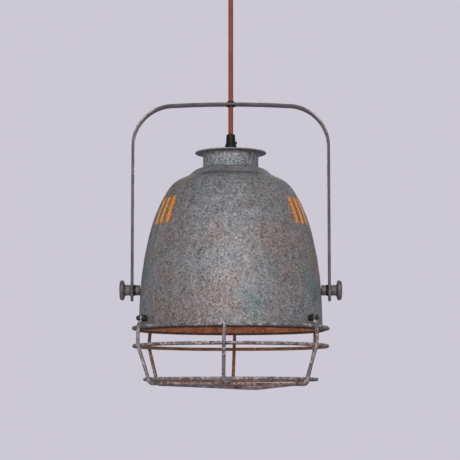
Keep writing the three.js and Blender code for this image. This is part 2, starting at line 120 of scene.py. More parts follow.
# ================================================================== materials
class Nodes:
    """A small hand for building a procedural material."""

    def __init__(self, name, **principled):
        self.mat = bpy.data.materials.new(name)
        self.mat.use_nodes = True
        self.t = self.mat.node_tree
        self.t.nodes.clear()
        self.out = self.new("ShaderNodeOutputMaterial")
        self.bsdf = self.new("ShaderNodeBsdfPrincipled")
        self.t.links.new(self.bsdf.outputs[0], self.out.inputs["Surface"])
        self.co = self.new("ShaderNodeTexCoord").outputs["Object"]
        for k, v in principled.items():
            self.bsdf.inputs[k.replace("_", " ")].default_value = v

    def new(self, kind):
        return self.t.nodes.new(kind)

    def put(self, socket, value):
        if isinstance(value, bpy.types.NodeSocket):
            self.t.links.new(value, socket)
        elif isinstance(value, (tuple, list)) and len(value) == 3 and socket.type == "RGBA":
            socket.default_value = (*value, 1)
        else:
            socket.default_value = value

    def at(self, scale=(1, 1, 1), move=(0, 0, 0), vec=None):
        m = self.new("ShaderNodeMapping")
        self.put(m.inputs["Vector"], vec or self.co)
        m.inputs["Scale"].default_value = scale
        m.inputs["Location"].default_value = move
        return m.outputs[0]

    def noise(self, scale, detail=2.0, rough=0.5, distort=0.0, vec=None, move=None):
        n = self.new("ShaderNodeTexNoise")
        if move is not None:
            vec = self.at(move=move, vec=vec)
        self.put(n.inputs["Vector"], vec or self.co)
        n.inputs["Scale"].default_value = scale
        n.inputs["Detail"].default_value = detail
        n.inputs["Roughness"].default_value = rough
        n.inputs["Distortion"].default_value = distort
        return n.outputs[0]

    def cells(self, scale, vec=None, feature="F1", rand=1.0):
        n = self.new("ShaderNodeTexVoronoi")
        n.feature = feature
        self.put(n.inputs["Vector"], vec or self.co)
        n.inputs["Scale"].default_value = scale
        n.inputs["Randomness"].default_value = rand
        return n.outputs["Distance"]

    def m(self, op, a, b=0.0, c=0.0, clamp=False):
        n = self.new("ShaderNodeMath")
        n.operation = op
        n.use_clamp = clamp
        for s, v in zip(n.inputs, (a, b, c)):
            self.put(s, v)
        return n.outputs[0]

    def span(self, x, a, b, lo=0.0, hi=1.0, smooth=True):
        n = self.new("ShaderNodeMapRange")
        n.interpolation_type = "SMOOTHSTEP" if smooth else "LINEAR"
        n.clamp = True
        for s, v in zip(n.inputs[:5], (x, a, b, lo, hi)):
            self.put(s, v)
        return n.outputs[0]

    def mix(self, fac, a, b, how="MIX"):
        n = self.new("ShaderNodeMix")
        n.data_type = "RGBA"
        n.blend_type = how
        n.clamp_factor = True
        self.put(n.inputs[0], fac)
        self.put(n.inputs[6], a)
        self.put(n.inputs[7], b)
        return n.outputs[2]

    def times(self, col, val):
        """colour times a number"""
        c = self.new("ShaderNodeCombineColor")
        for s in c.inputs:
            self.put(s, val)
        return self.mix(1.0, col, c.outputs[0], "MULTIPLY")

    def attr(self, name):
        n = self.new("ShaderNodeAttribute")
        n.attribute_name = name
        return n.outputs["Fac"]

    def uv(self, name):
        n = self.new("ShaderNodeUVMap")
        n.uv_map = name
        return n.outputs[0]

    def split(self, vec):
        n = self.new("ShaderNodeSeparateXYZ")
        self.put(n.inputs[0], vec)
        return n.outputs

    def bump(self, height, strength, distance, normal=None):
        n = self.new("ShaderNodeBump")
        n.inputs["Strength"].default_value = strength
        n.inputs["Distance"].default_value = distance
        self.put(n.inputs["Height"], height)
        if normal is not None:
            self.put(n.inputs["Normal"], normal)
        return n.outputs[0]

    def done(self, color=None, rough=None, normal=None, metal=None):
        for key, v in (("Base Color", color), ("Roughness", rough), ("Normal", normal), ("Metallic", metal)):
            if v is not None:
                self.put(self.bsdf.inputs[key], v)
        return self.mat


def zinc(name, grain=470.0, contrast=5.4, patch=1.0, level=1.04, metal=0.45, rough=(0.54, 0.70)):
    """Weathered zinc: fine light and dark grain over soft brown, grey and verdigris patches."""
    n = Nodes(name, Metallic=metal, Specular_IOR_Level=0.30)
    warp = n.noise(24, 3, 0.6, 0.4)
    brown = n.span(n.noise(14, 4, 0.6, 0.3, move=(0.31, 0.12, 0.4)), 0.43, 0.62)
    teal = n.span(n.noise(17, 3.5, 0.58, 0.5, move=(0.9, 0.2, 0.7)), 0.50, 0.68)
    pale = n.span(warp, 0.52, 0.74)
    c = n.mix(n.m("MULTIPLY", brown, 0.95 * patch), (0.229 * level, 0.226 * level, 0.237 * level), (0.238 * level, 0.198 * level, 0.190 * level))
    c = n.mix(n.m("MULTIPLY", teal, 0.80 * patch), c, (0.160 * level, 0.198 * level, 0.204 * level))
    c = n.mix(n.m("MULTIPLY", pale, 0.45 * patch), c, (0.300 * level, 0.285 * level, 0.300 * level))
    # painted shade in the step round the shoulder: a dark band where the crease lies in shadow
    z = n.split(n.co)[2]
    step = n.m("MULTIPLY", n.span(z, -0.3345, -0.3315), n.span(z, -0.3310, -0.3265, 1.0, 0.0))
    c = n.mix(n.m("MULTIPLY", step, 0.65), c, (0.085 * level, 0.080 * level, 0.086 * level))
    # faint runs down the wall
    runs = n.noise(1.0, 3, 0.6, 0.2, vec=n.at(scale=(95, 95, 9)))
    # grain of two sizes, wormy
    g1 = n.noise(grain, 2.5, 0.62, 0.9)
    g2 = n.noise(grain * 2.1, 1.5, 0.5, 0.3, move=(0.5, 0.5, 0.1))
    g = n.m("ADD", n.m("MULTIPLY", g1, 0.70), n.m("MULTIPLY", g2, 0.30))
    k = n.m("ADD", n.m("MULTIPLY", n.m("SUBTRACT", g, 0.5), contrast), 1.0)
    k = n.m("ADD", k, n.m("MULTIPLY", n.m("SUBTRACT", runs, 0.5), 0.45))
    k = n.m("ADD", k, n.m("MULTIPLY", n.m("SUBTRACT", n.noise(120, 3, 0.6, 0.8, move=(4.1, 0.6, 2.2)), 0.5), 1.1))
    k = n.m("MAXIMUM", k, 0.28)
    c = n.times(c, k)
    # sparse dark pits and pale flecks
    pits = n.span(n.noise(grain * 0.55, 2, 0.6, 0.2, move=(2.2, 1.4, 0.3)), 0.30, 0.38, 1.0, 0.0)
    c = n.mix(n.m("MULTIPLY", pits, 0.28), c, (0.080, 0.075, 0.082))
    fleck = n.span(n.noise(grain * 0.7, 2, 0.6, 0.3, move=(1.1, 3.4, 1.3)), 0.63, 0.72)
    c = n.mix(n.m("MULTIPLY", fleck, 0.50), c, (0.46, 0.44, 0.44))
    nrm = n.bump(n.noise(9, 2, 0.5), 0.10, 0.004)
    nrm = n.bump(g, 0.42, 0.0005, nrm)
    return n.done(c, n.span(g, 0.3, 0.7, *rough, smooth=False), nrm)


def copper(name, level=1.0):
    """Rust-brown copper wash inside the shade, even above with a painted warm glow of bulb light there, greyer with
    gold flecks at the rim.
    """
    n = Nodes(name, Metallic=0.15, Specular_IOR_Level=0.25)
    z = n.split(n.co)[2]
    rim = n.span(z, -0.520, -0.475, 1.0, 0.0)
    bulb_glow_band = n.span(z, -0.420, -0.385)
    streak = n.noise(1.0, 4, 0.65, 0.3, vec=n.at(scale=(140, 140, 60)))
    blot = n.noise(38, 4, 0.62, 0.5)
    c = n.mix(n.span(streak, 0.35, 0.68), (0.42, 0.185, 0.080), (0.62, 0.310, 0.140))
    c = n.mix(n.m("MULTIPLY", n.span(blot, 0.52, 0.72), 0.50), c, (0.230, 0.115, 0.080))
    # painted bulb light: the upper inner wall is tinted a saturated orange, as if lit by the warm bulb
    c = n.mix(n.m("MULTIPLY", bulb_glow_band, 0.92), c, (0.60, 0.325, 0.055))
    c = n.mix(n.m("MULTIPLY", rim, 0.75), c, n.mix(n.span(streak, 0.38, 0.62), (0.250, 0.142, 0.102), (0.420, 0.225, 0.148)))
    g = n.noise(520, 2, 0.6, 0.6)
    c = n.times(c, n.m("MULTIPLY", n.m("ADD", n.m("MULTIPLY", n.m("SUBTRACT", g, 0.5), n.span(bulb_glow_band, 0.0, 1.0, 2.2, 0.5, smooth=False)), 1.0), level))
    fleck = n.span(n.noise(300, 2, 0.6, 0.2, move=(1, 2, 3)), 0.60, 0.70)
    c = n.mix(n.m("MULTIPLY", fleck, 0.65), c, (0.70, 0.46, 0.22))
    # painted shade: a thin dark line just above the rim's inner edge, where the rim lies in shadow
    line = n.span(z, -0.5298, -0.5286, 1.0, 0.0)
    c = n.mix(n.m("MULTIPLY", line, 0.85), c, (0.045, 0.028, 0.024))
    return n.done(c, n.span(streak, 0.3, 0.7, 0.50, 0.72, smooth=False), n.bump(g, 0.30, 0.0004))


def edge_metal(name):
    """The sheet's cut edges: dark scale with bright nicks."""
    n = Nodes(name, Metallic=0.3, Specular_IOR_Level=0.3)
    g = n.noise(300, 3, 0.6, 0.4)
    c = n.mix(n.span(g, 0.45, 0.7), (0.060, 0.045, 0.045), (0.21, 0.13, 0.10))
    return n.done(c, n.span(g, 0.3, 0.7, 0.5, 0.75, smooth=False), n.bump(g, 0.25, 0.0004))


def guard(name):
    """Welded guard wire: mottled grey zinc with pale wear patches, more of them on top as a painted highlight, painted
    shade on the undersides, and copper corrosion mixed with painted warm bulb light only where it faces the bulb.
    """
    n = Nodes(name, Metallic=0.22, Specular_IOR_Level=0.30)
    inw = n.attr("inward")
    up = n.attr("up")
    blot = n.noise(95, 4, 0.65, 0.5)
    # the sides facing the bulb get copper corrosion mixed with painted warm bulb light
    wob = n.m("ADD", inw, n.m("MULTIPLY", n.m("SUBTRACT", blot, 0.5), 0.8))
    rust_and_bulb_glow = n.m("MULTIPLY", n.span(wob, 0.50, 0.84), 0.92)
    long1 = n.noise(60, 3, 0.6, 0.4, move=(0.4, 0.8, 0.2))
    grey = n.mix(n.span(long1, 0.40, 0.62), (0.120, 0.104, 0.110), (0.215, 0.200, 0.210))
    grey = n.mix(n.m("MULTIPLY", n.span(n.noise(70, 3, 0.6, 0.3, move=(3, 1, 2)), 0.54, 0.70), 0.55), grey, (0.215, 0.145, 0.125))
    grey = n.mix(n.m("MULTIPLY", n.span(n.noise(40, 3, 0.6, 0.3, move=(1, 5, 2)), 0.58, 0.70), 0.7), grey, (0.130, 0.180, 0.182))
    # pale wear pushed onto upward faces: partly real wear, partly a painted highlight on the wire's top
    wear_and_top_highlight = n.m("MULTIPLY", n.span(n.m("ADD", n.noise(170, 3, 0.65, 0.5, move=(5, 2, 1)), n.m("MULTIPLY", up, 0.075)), 0.51, 0.61), 0.90)
    grey = n.mix(wear_and_top_highlight, grey, (0.47, 0.405, 0.400))
    # painted shade: the downward-facing sides of the wire are darkened
    grey = n.mix(n.m("MULTIPLY", n.span(up, -0.85, -0.35, 1.0, 0.0), 0.65), grey, (0.070, 0.052, 0.055))
    rust_glow_colour = n.mix(n.span(n.noise(120, 4, 0.65, 0.4, move=(2, 2, 5)), 0.38, 0.66), (0.185, 0.100, 0.070), (0.430, 0.225, 0.130))
    rust_glow_colour = n.mix(n.m("MULTIPLY", n.span(n.noise(210, 2, 0.6, 0.3, move=(7, 2, 5)), 0.66, 0.74), 0.7), rust_glow_colour, (0.62, 0.44, 0.30))
    c = n.mix(rust_and_bulb_glow, grey, rust_glow_colour)
    g = n.noise(640, 2, 0.6, 0.5)
    c = n.times(c, n.m("ADD", n.m("MULTIPLY", n.m("SUBTRACT", g, 0.5), 3.4), 1.0))
    h = n.m("ADD", n.m("MULTIPLY", blot, 0.6), n.m("MULTIPLY", g, 0.4))
    return n.done(c, n.span(blot, 0.3, 0.7, 0.48, 0.72, smooth=False), n.bump(h, 0.45, 0.0007))


def strap_metal(name, level=1.0, edge=(0.086, 0.076, 0.081), knob=False):
    """Aged flat bar: grey-brown and scuffed, its narrow edges darker, rubbed to metal at the corner bends, where a
    painted highlight also lies along the upper outer edge.
    """
    n = Nodes(name, Metallic=0.30, Specular_IOR_Level=0.32)
    wear = n.attr("wear")
    blot = n.noise(70, 4, 0.65, 0.4)
    fine = n.noise(420, 3, 0.65, 0.7)
    c = n.mix(n.span(blot, 0.38, 0.66), (0.118 * level, 0.102 * level, 0.106 * level), (0.190 * level, 0.172 * level, 0.178 * level))
    c = n.mix(n.m("MULTIPLY", n.span(n.noise(44, 3, 0.6, 0.3, move=(2, 1, 4)), 0.55, 0.70), 0.5), c, (0.185 * level, 0.140 * level, 0.125 * level))
    spots = n.m("MULTIPLY", n.m("SUBTRACT", n.noise(130, 4, 0.65, 0.4, move=(1, 1, 6)), 0.5), 1.7)
    if knob:
        bare_and_highlight = n.m("MULTIPLY", n.span(n.m("ADD", wear, spots), 0.62, 1.02), 0.55)
    else:
        tone = n.span(n.noise(60, 3, 0.6, 0.3, move=(4, 3, 1)), 0.40, 0.66)
        c = n.mix(n.span(wear, 0.2, 0.8), c, n.mix(tone, edge, tuple(e * 1.35 for e in edge)))
        # pale metal at the bends: real rubbing plus a painted highlight along their upper outer edge
        bare_and_highlight = n.m("MULTIPLY", n.span(n.m("ADD", n.attr("bend"), spots), 0.52, 0.98), 0.80)
    c = n.mix(bare_and_highlight, c, (0.40 * level, 0.38 * level, 0.38 * level))
    c = n.times(c, n.m("ADD", n.m("MULTIPLY", n.m("SUBTRACT", fine, 0.5), 2.2), 1.0))
    return n.done(c, n.span(blot, 0.3, 0.7, 0.44, 0.66, smooth=False), n.bump(fine, 0.35, 0.0005))


def plastic(name, base=0.0065, rough=(0.46, 0.60), grain=900.0, tint=(1.0, 0.93, 1.15), spec=0.24):
    n = Nodes(name, Specular_IOR_Level=spec)
    g = n.noise(grain, 2, 0.5)
    dust = n.span(n.noise(60, 4, 0.65, 0.3), 0.52, 0.76)
    c = n.mix(n.m("MULTIPLY", dust, 0.5), tuple(base * t for t in tint), tuple(base * 2.2 * t for t in tint))
    return n.done(c, n.span(n.noise(150, 3, 0.6), 0.3, 0.7, *rough, smooth=False), n.bump(g, 0.18, 0.0003))


def steel(name, base=(0.50, 0.49, 0.47), dull=(0.28, 0.26, 0.24), rough=(0.26, 0.50)):
    n = Nodes(name, Metallic=1.0)
    blot = n.noise(110, 4, 0.6, 0.3)
    scratch = n.noise(1.0, 3, 0.6, vec=n.at(scale=(900, 160, 900)))
    c = n.mix(n.span(blot, 0.45, 0.72), base, dull)
    c = n.times(c, n.span(scratch, 0.3, 0.7, 0.86, 1.10, smooth=False))
    return n.done(c, n.span(blot, 0.3, 0.7, *rough, smooth=False), n.bump(scratch, 0.16, 0.0002))


def glazed(name):
    n = Nodes(name, Specular_IOR_Level=0.5, Coat_Weight=0.35, Coat_Roughness=0.12)
    craze = n.span(n.cells(240, feature="DISTANCE_TO_EDGE"), 0.0, 0.05, 1.0, 0.0)
    tone = n.noise(60, 3, 0.55)
    c = n.mix(n.span(tone, 0.35, 0.7), (0.80, 0.77, 0.71), (0.70, 0.66, 0.58))
    c = n.mix(n.m("MULTIPLY", craze, 0.10), c, (0.42, 0.36, 0.28))
    return n.done(c, n.span(tone, 0.3, 0.7, 0.28, 0.42, smooth=False), n.bump(tone, 0.10, 0.0006))


def braid(name):
    """Textile cord: crossing yarns laid on a helix, with single threads and a little fuzz."""
    n = Nodes(name, Specular_IOR_Level=0.30, Sheen_Weight=0.04, Sheen_Roughness=0.4)
    u, v, _ = n.split(n.uv("yarn"))
    turns = n.m("MULTIPLY", u, 12.0)
    along = n.m("MULTIPLY", v, 1000.0 / 1.75)
    a = n.m("SINE", n.m("MULTIPLY", n.m("ADD", turns, along), math.pi))
    b = n.m("SINE", n.m("MULTIPLY", n.m("SUBTRACT", turns, along), math.pi))
    over = n.m("ADD", n.m("MULTIPLY", n.m("MULTIPLY", a, b), 0.5), 0.5)
    gap = n.m("MINIMUM", n.m("ABSOLUTE", a), n.m("ABSOLUTE", b))
    crown = n.span(gap, 0.0, 0.55)
    thread = n.noise(1.0, 2, 0.6, 0.2, vec=n.at(scale=(90, 2600, 1), vec=n.uv("yarn")))
    tone = n.noise(55, 3, 0.6, 0.2)
    # yarn crowns lighter, gaps between the yarns darker: the braid pattern, with painted shade in the crevices
    c = n.mix(crown, (0.100, 0.026, 0.018), (0.300, 0.080, 0.052))
    c = n.mix(n.m("MULTIPLY", over, 0.55), c, (0.245, 0.062, 0.042))
    c = n.mix(n.m("MULTIPLY", n.span(thread, 0.50, 0.72), 0.40), c, (0.47, 0.185, 0.120))
    c = n.times(c, n.span(tone, 0.3, 0.7, 0.84, 1.14, smooth=False))
    h = n.m("ADD", n.m("MULTIPLY", crown, 0.75), n.m("MULTIPLY", thread, 0.25))
    return n.done(c, n.span(thread, 0.3, 0.7, 0.52, 0.68, smooth=False), n.bump(h, 0.50, 0.0005))


def lamp_glass(name):
    """Frosted lamp glass, lit: hot round the filament, deeper amber towards the neck and the tip."""
    n = Nodes(name, Specular_IOR_Level=0.5, Roughness=0.3)
    z = n.split(n.co)[2]
    hot = n.m("MULTIPLY", n.span(z, -0.452, -0.420, 0.25, 1.0), n.span(z, -0.405, -0.372, 1.0, 0.15))
    frost = n.noise(500, 2, 0.5)
    c = n.mix(hot, (1.0, 0.40, 0.06), (1.0, 0.58, 0.15))
    c = n.times(c, n.span(frost, 0.3, 0.7, 0.94, 1.05, smooth=False))
    n.put(n.bsdf.inputs["Emission Color"], c)
    n.put(n.bsdf.inputs["Emission Strength"], n.span(hot, 0.0, 1.0, BULB * 0.45, BULB, smooth=False))
    return n.done(n.mix(n.span(frost, 0.4, 0.6), (0.86, 0.80, 0.70), (0.92, 0.88, 0.80)), n.span(frost, 0.3, 0.7, 0.26, 0.36, smooth=False), n.bump(frost, 0.08, 0.0002))


def insulation(name, base, pale):
    n = Nodes(name, Specular_IOR_Level=0.4)
    t = n.noise(180, 3, 0.6)
    c = n.mix(n.span(t, 0.42, 0.68), base, pale)
    return n.done(c, n.span(t, 0.3, 0.7, 0.36, 0.55, smooth=False), n.bump(t, 0.10, 0.0002))


BULB = 7.0
MAT = {
    "zinc": zinc("zinc_wall"),
    "zinc_neck": zinc("zinc_neck", grain=430.0, contrast=7.0, patch=0.85, level=1.15),
    "zinc_dark": zinc("zinc_cap", grain=420.0, contrast=2.8, patch=1.0, level=1.10, metal=0.2),
    "copper": copper("copper_wash"),
    "edge": edge_metal("cut_edge"),
    "guard": guard("guard_metal"),
    "strap": strap_metal("strap_bar"),
    "knob": strap_metal("knob_metal", 1.0, knob=True),
    "plastic": plastic("black_moulding"),
    "black": plastic("black_screws", 0.009, (0.24, 0.38), 700.0, spec=0.5),
    "rubber": plastic("rubber_washer", 0.015, (0.62, 0.80), 1200.0),
    "steel": steel("zinc_plate"),
    "brass": steel("brass_sheet", (0.62, 0.42, 0.16), (0.36, 0.22, 0.08), (0.24, 0.42)),
    "ceramic": glazed("glazed_ceramic"),
    "cord": braid("cord_braid"),
    "bulb": lamp_glass("lamp_glass"),
    "brown": insulation("lead_brown", (0.095, 0.045, 0.022), (0.14, 0.070, 0.036)),
    "blue": insulation("lead_blue", (0.030, 0.085, 0.230), (0.050, 0.120, 0.290)),
    "green": insulation("lead_green", (0.150, 0.270, 0.030), (0.210, 0.340, 0.050)),
}


# ================================================================== mesh tools
def azdir(az):
    return Vector((math.sin(az * D2R), -math.cos(az * D2R), 0.0))


def out_matrix(az, z):
    """lays a piece built along +Z outward at azimuth az and height z"""
    return Matrix.Translation((0, 0, z)) @ Matrix.Rotation((az - 90) * D2R, 4, "Z") @ Matrix.Rotation(math.pi / 2, 4, "Y")


def spline(pts, step):
    """centripetal Catmull-Rom through pts, sampled about every step"""
    P = [Vector(p) for p in pts]
    P = [P[0] * 2 - P[1]] + P + [P[-1] * 2 - P[-2]]
    out = []
    for i in range(1, len(P) - 2):
        p0, p1, p2, p3 = P[i - 1:i + 3]
        t0 = 0.0
        t1 = t0 + max(1e-5, (p1 - p0).length) ** 0.5
        t2 = t1 + max(1e-5, (p2 - p1).length) ** 0.5
        t3 = t2 + max(1e-5, (p3 - p2).length) ** 0.5
        n = max(1, round((p2 - p1).length / step))
        for k in range(n):
            t = t1 + (t2 - t1) * k / n
            a1 = p0 * ((t1 - t) / (t1 - t0)) + p1 * ((t - t0) / (t1 - t0))
            a2 = p1 * ((t2 - t) / (t2 - t1)) + p2 * ((t - t1) / (t2 - t1))
            a3 = p2 * ((t3 - t) / (t3 - t2)) + p3 * ((t - t2) / (t3 - t2))
            b1 = a1 * ((t2 - t) / (t2 - t0)) + a2 * ((t - t0) / (t2 - t0))
            b2 = a2 * ((t3 - t) / (t3 - t1)) + a3 * ((t - t1) / (t3 - t1))
            out.append(b1 * ((t2 - t) / (t2 - t1)) + b2 * ((t - t1) / (t2 - t1)))
    out.append(P[-2])
    return out


def rounded(prof, r=0.4, n=4, closed=True):
    """a profile with its corners eased by about r"""
    out, N = [], len(prof)
    for i, p in enumerate(prof):
        b = Vector(p)
        if (not closed and i in (0, N - 1)) or p[0] < 1e-6:
            out.append(tuple(b))
            continue
        a, c = Vector(prof[i - 1]), Vector(prof[(i + 1) % N])
        u, v = a - b, c - b
        lu, lv = u.length, v.length
        u.normalize()
        v.normalize()
        ang = u.angle(v)
        if ang > 168 * D2R:
            out.append(tuple(b))
            continue
        t = min(r / math.tan(ang / 2), lu * 0.45, lv * 0.45)
        s, e = b + u * t, b + v * t
        for k in range(n + 1):
            f = k / n
            out.append(tuple(s * (1 - f) ** 2 + b * (2 * f * (1 - f)) + e * f * f))
    return out


def lathe(prof, seg=96, closed=True, mats=None, bm=None, wobble=0.0):
    """turn [r, z] about Z; mats gives a material index for the stretch after each profile point"""
    bm = bm or bmesh.new()
    rings = []
    for r, z in prof:
        if r < 1e-5:
            rings.append([bm.verts.new((0, 0, z))])
            continue
        ring = []
        for k in range(seg):
            t = 2 * math.pi * k / seg
            rr = r
            if wobble:
                rr += wobble * mnoise.noise(Vector((math.cos(t) * 1.3, math.sin(t) * 1.3, z * 0.02)))
            ring.append(bm.verts.new((rr * math.cos(t), rr * math.sin(t), z)))
        rings.append(ring)
    n = len(prof)
    for i in range(n if closed else n - 1):
        a, b = rings[i], rings[(i + 1) % n]
        if len(a) == 1 and len(b) == 1:
            continue
        for k in range(seg):
            j = (k + 1) % seg
            if len(a) == 1:
                f = bm.faces.new((a[0], b[j], b[k]))
            elif len(b) == 1:
                f = bm.faces.new((a[k], a[j], b[0]))
            else:
                f = bm.faces.new((a[k], a[j], b[j], b[k]))
            if mats:
                f.material_index = mats[i]
    return bm


def frames_along(pts, first, closed=False):
    """tangents and parallel-carried normals"""
    N = len(pts)
    T = []
    for i in range(N):
        if closed:
            d = pts[(i + 1) % N] - pts[i - 1]
        else:
            d = pts[min(N - 1, i + 1)] - pts[max(0, i - 1)]
        T.append(d.normalized())
    n = (first - T[0] * first.dot(T[0])).normalized()
    out = []
    for i in range(N):
        if i:
            n = (n - T[i] * n.dot(T[i])).normalized()
        out.append((T[i], n, T[i].cross(n)))
    return out


def sweep(bm, pts, section, first=Vector((1, 0, 0)), closed=False, cap="flat", uv=None):
    """section(i, s) gives the outline at point i as a list of (a, b) along the normal and the binormal"""
    fr = frames_along(pts, first, closed)
    rings, s = [], 0.0
    length = [0.0]
    for i in range(1, len(pts)):
        length.append(length[-1] + (pts[i] - pts[i - 1]).length)
    for i, p in enumerate(pts):
        t, n, b = fr[i]
        rings.append([bm.verts.new(p + n * x + b * y) for x, y in section(i, length[i])])
    layer = bm.loops.layers.uv.verify() if uv else None
    m = len(rings[0])
    N = len(rings)
    for i in range(N if closed else N - 1):
        a, b = rings[i], rings[(i + 1) % N]
        for k in range(m):
            j = (k + 1) % m
            f = bm.faces.new((a[k], a[j], b[j], b[k]))
            if layer:
                ku = [(k / m), ((k + 1) / m), ((k + 1) / m), (k / m)]
                kv = [length[i], length[i], length[(i + 1) % N], length[(i + 1) % N]]
                for loop, uu, vv in zip(f.loops, ku, kv):
                    loop[layer].uv = (uu, vv * 0.001)
    if not closed and cap:
        for ring in (rings[0], rings[-1]):
            c = bm.verts.new(sum((v.co for v in ring), Vector()) / len(ring))
            for k in range(m):
                bm.faces.new((ring[k], ring[(k + 1) % m], c))
    return rings


def circle(r, sides):
    return [(r * math.cos(2 * math.pi * k / sides), r * math.sin(2 * math.pi * k / sides)) for k in range(sides)]


def blob(bm, centre, size, axis_z, axis_x, seed):
    """a lumpy weld bead"""
    made = bmesh.ops.create_icosphere(bm, subdivisions=3, radius=1.0)["verts"]
    z = axis_z.normalized()
    x = (axis_x - z * axis_x.dot(z)).normalized()
    y = z.cross(x)
    for v in made:
        p = v.co.copy()
        k = 1.0 + 0.16 * mnoise.noise(p * 1.7 + Vector((seed, seed * 0.7, 3.1))) + 0.06 * mnoise.noise(p * 5 + Vector((seed, 1, 2)))
        v.co = centre + (x * p.x * size[0] + y * p.y * size[1] + z * p.z * size[2]) * k
    return made


def hexagon(af, bore, z0, z1, chamfer=0.6, seg=48):
    """a chamfered hexagon nut"""
    bm = bmesh.new()
    R = af / math.sqrt(3)

    def hexr(t, shrink=0.0):
        a = (t % (math.pi / 3)) - math.pi / 6
        return min(af / 2 / math.cos(a), R - shrink)

    def ring(fun, z):
        return [bm.verts.new((fun(2 * math.pi * k / seg) * math.cos(2 * math.pi * k / seg), fun(2 * math.pi * k / seg) * math.sin(2 * math.pi * k / seg), z)) for k in range(seg)]

    rise = chamfer * 0.55
    rows = [
        ring(lambda t: bore + 0.35, z0), ring(lambda t: af / 2 * 0.93, z0), ring(lambda t: min(hexr(t), af / 2 * 1.02), z0 + rise * 0.6),
        ring(lambda t: hexr(t, 0.05), z0 + rise + 0.35), ring(lambda t: hexr(t, 0.05), z1 - rise - 0.35),
        ring(lambda t: min(hexr(t), af / 2 * 1.02), z1 - rise * 0.6), ring(lambda t: af / 2 * 0.93, z1), ring(lambda t: bore + 0.35, z1),
        ring(lambda t: bore, z1 - 0.4), ring(lambda t: bore, z0 + 0.4),
    ]
    for i in range(len(rows)):
        a, b = rows[i], rows[(i + 1) % len(rows)]
        for k in range(seg):
            bm.faces.new((a[k], a[(k + 1) % seg], b[(k + 1) % seg], b[k]))
    return bm


def boxy(x0, x1, y0, y1, z0, z1, bevel=0.6, bm=None):
    bm = bm or bmesh.new()
    made = bmesh.ops.create_cube(bm, size=1.0)["verts"]
    for v in made:
        v.co = Vector(((x0 + x1) / 2 + v.co.x * (x1 - x0), (y0 + y1) / 2 + v.co.y * (y1 - y0), (z0 + z1) / 2 + v.co.z * (z1 - z0)))
    edges = list({e for v in made for e in v.link_edges})
    bmesh.ops.bevel(bm, geom=edges, offset=bevel, segments=3, profile=0.6, affect="EDGES")
    return bm


def to_object(bm, name, mats, uv=None):
    bmesh.ops.recalc_face_normals(bm, faces=bm.faces[:])
    me = bpy.data.meshes.new(name)
    bm.to_mesh(me)
    bm.free()
    for m in mats:
        me.materials.append(m)
    if uv and me.uv_layers:
        me.uv_layers[0].name = uv
    ob = bpy.data.objects.new(name, me)
    bpy.context.scene.collection.objects.link(ob)
    return ob


def carve(ob, cutter):
    """boolean difference, applied"""
    mod = ob.modifiers.new("cut", "BOOLEAN")
    mod.object, mod.operation, mod.solver = cutter, "DIFFERENCE", "EXACT"
    bpy.context.view_layer.update()
    dg = bpy.context.evaluated_depsgraph_get()
    me = bpy.data.meshes.new_from_object(ob.evaluated_get(dg))
    ob.modifiers.clear()
    old = ob.data
    ob.data = me
    me.name = ob.name
    bpy.data.meshes.remove(old)
    cm = cutter.data
    bpy.data.objects.remove(cutter)
    bpy.data.meshes.remove(cm)
    return ob


def float_attr(ob, name, fun):
    me = ob.data
    a = me.attributes.get(name) or me.attributes.new(name, "FLOAT", "POINT")
    a.data.foreach_set("value", [fun(v.co, v.normal) for v in me.vertices])


def place(ob, nodes, ride=True, angle=36.0, slot=None):
    """to metres, smooth shading with sharp creases, and onto the body of the CAD node it stands for"""
    nodes = [nodes] if isinstance(nodes, str) else nodes
    me = ob.data
    me.transform(Matrix.Scale(0.001, 4) @ Matrix.Translation((0, 0, -CEIL)))
    me.shade_smooth()
    me.set_sharp_from_angle(angle=angle * D2R)
    me.update()
    if ride:
        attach(ob, BODY_OF[nodes[0]])
    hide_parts(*nodes)
    slot or SLOT_OF[nodes[0]]
    return ob


def turned(node, prof, mats, seg=96, r=0.4, closed=True, az=None, z=0.0, angle=36.0, wobble=0.0, wear=False, n=4):
    """one lathe piece standing for one CAD node"""
    bm = lathe(rounded(prof, r, n, closed), seg, closed, wobble=wobble)
    if az is not None:
        bmesh.ops.transform(bm, matrix=out_matrix(az, z), verts=bm.verts[:])
    ob = to_object(bm, node + "_fine", mats)
    if wear:
        # edges: where the profile turns sharply the normal swings within a small distance
        axis_wear(ob)
    return place(ob, node, angle=angle)


def axis_wear(ob):
    """1 at convex edges, 0 on flats, from the spread of the neighbouring face normals"""
    me = ob.data
    bm = bmesh.new()
    bm.from_mesh(me)
    bm.normal_update()
    val = [0.0] * len(bm.verts)
    for v in bm.verts:
        w = 0.0
        for e in v.link_edges:
            if len(e.link_faces) == 2:
                w = max(w, e.calc_face_angle_signed(0.0) if e.is_convex else 0.0)
        val[v.index] = min(1.0, w / 0.30)
    for _ in range(2):
        nxt = val[:]
        for v in bm.verts:
            near = [val[e.other_vert(v).index] for e in v.link_edges]
            nxt[v.index] = max(val[v.index], 0.55 * max(near)) if near else val[v.index]
        val = nxt
    bm.free()
    a = me.attributes.get("wear") or me.attributes.new("wear", "FLOAT", "POINT")
    a.data.foreach_set("value", val)


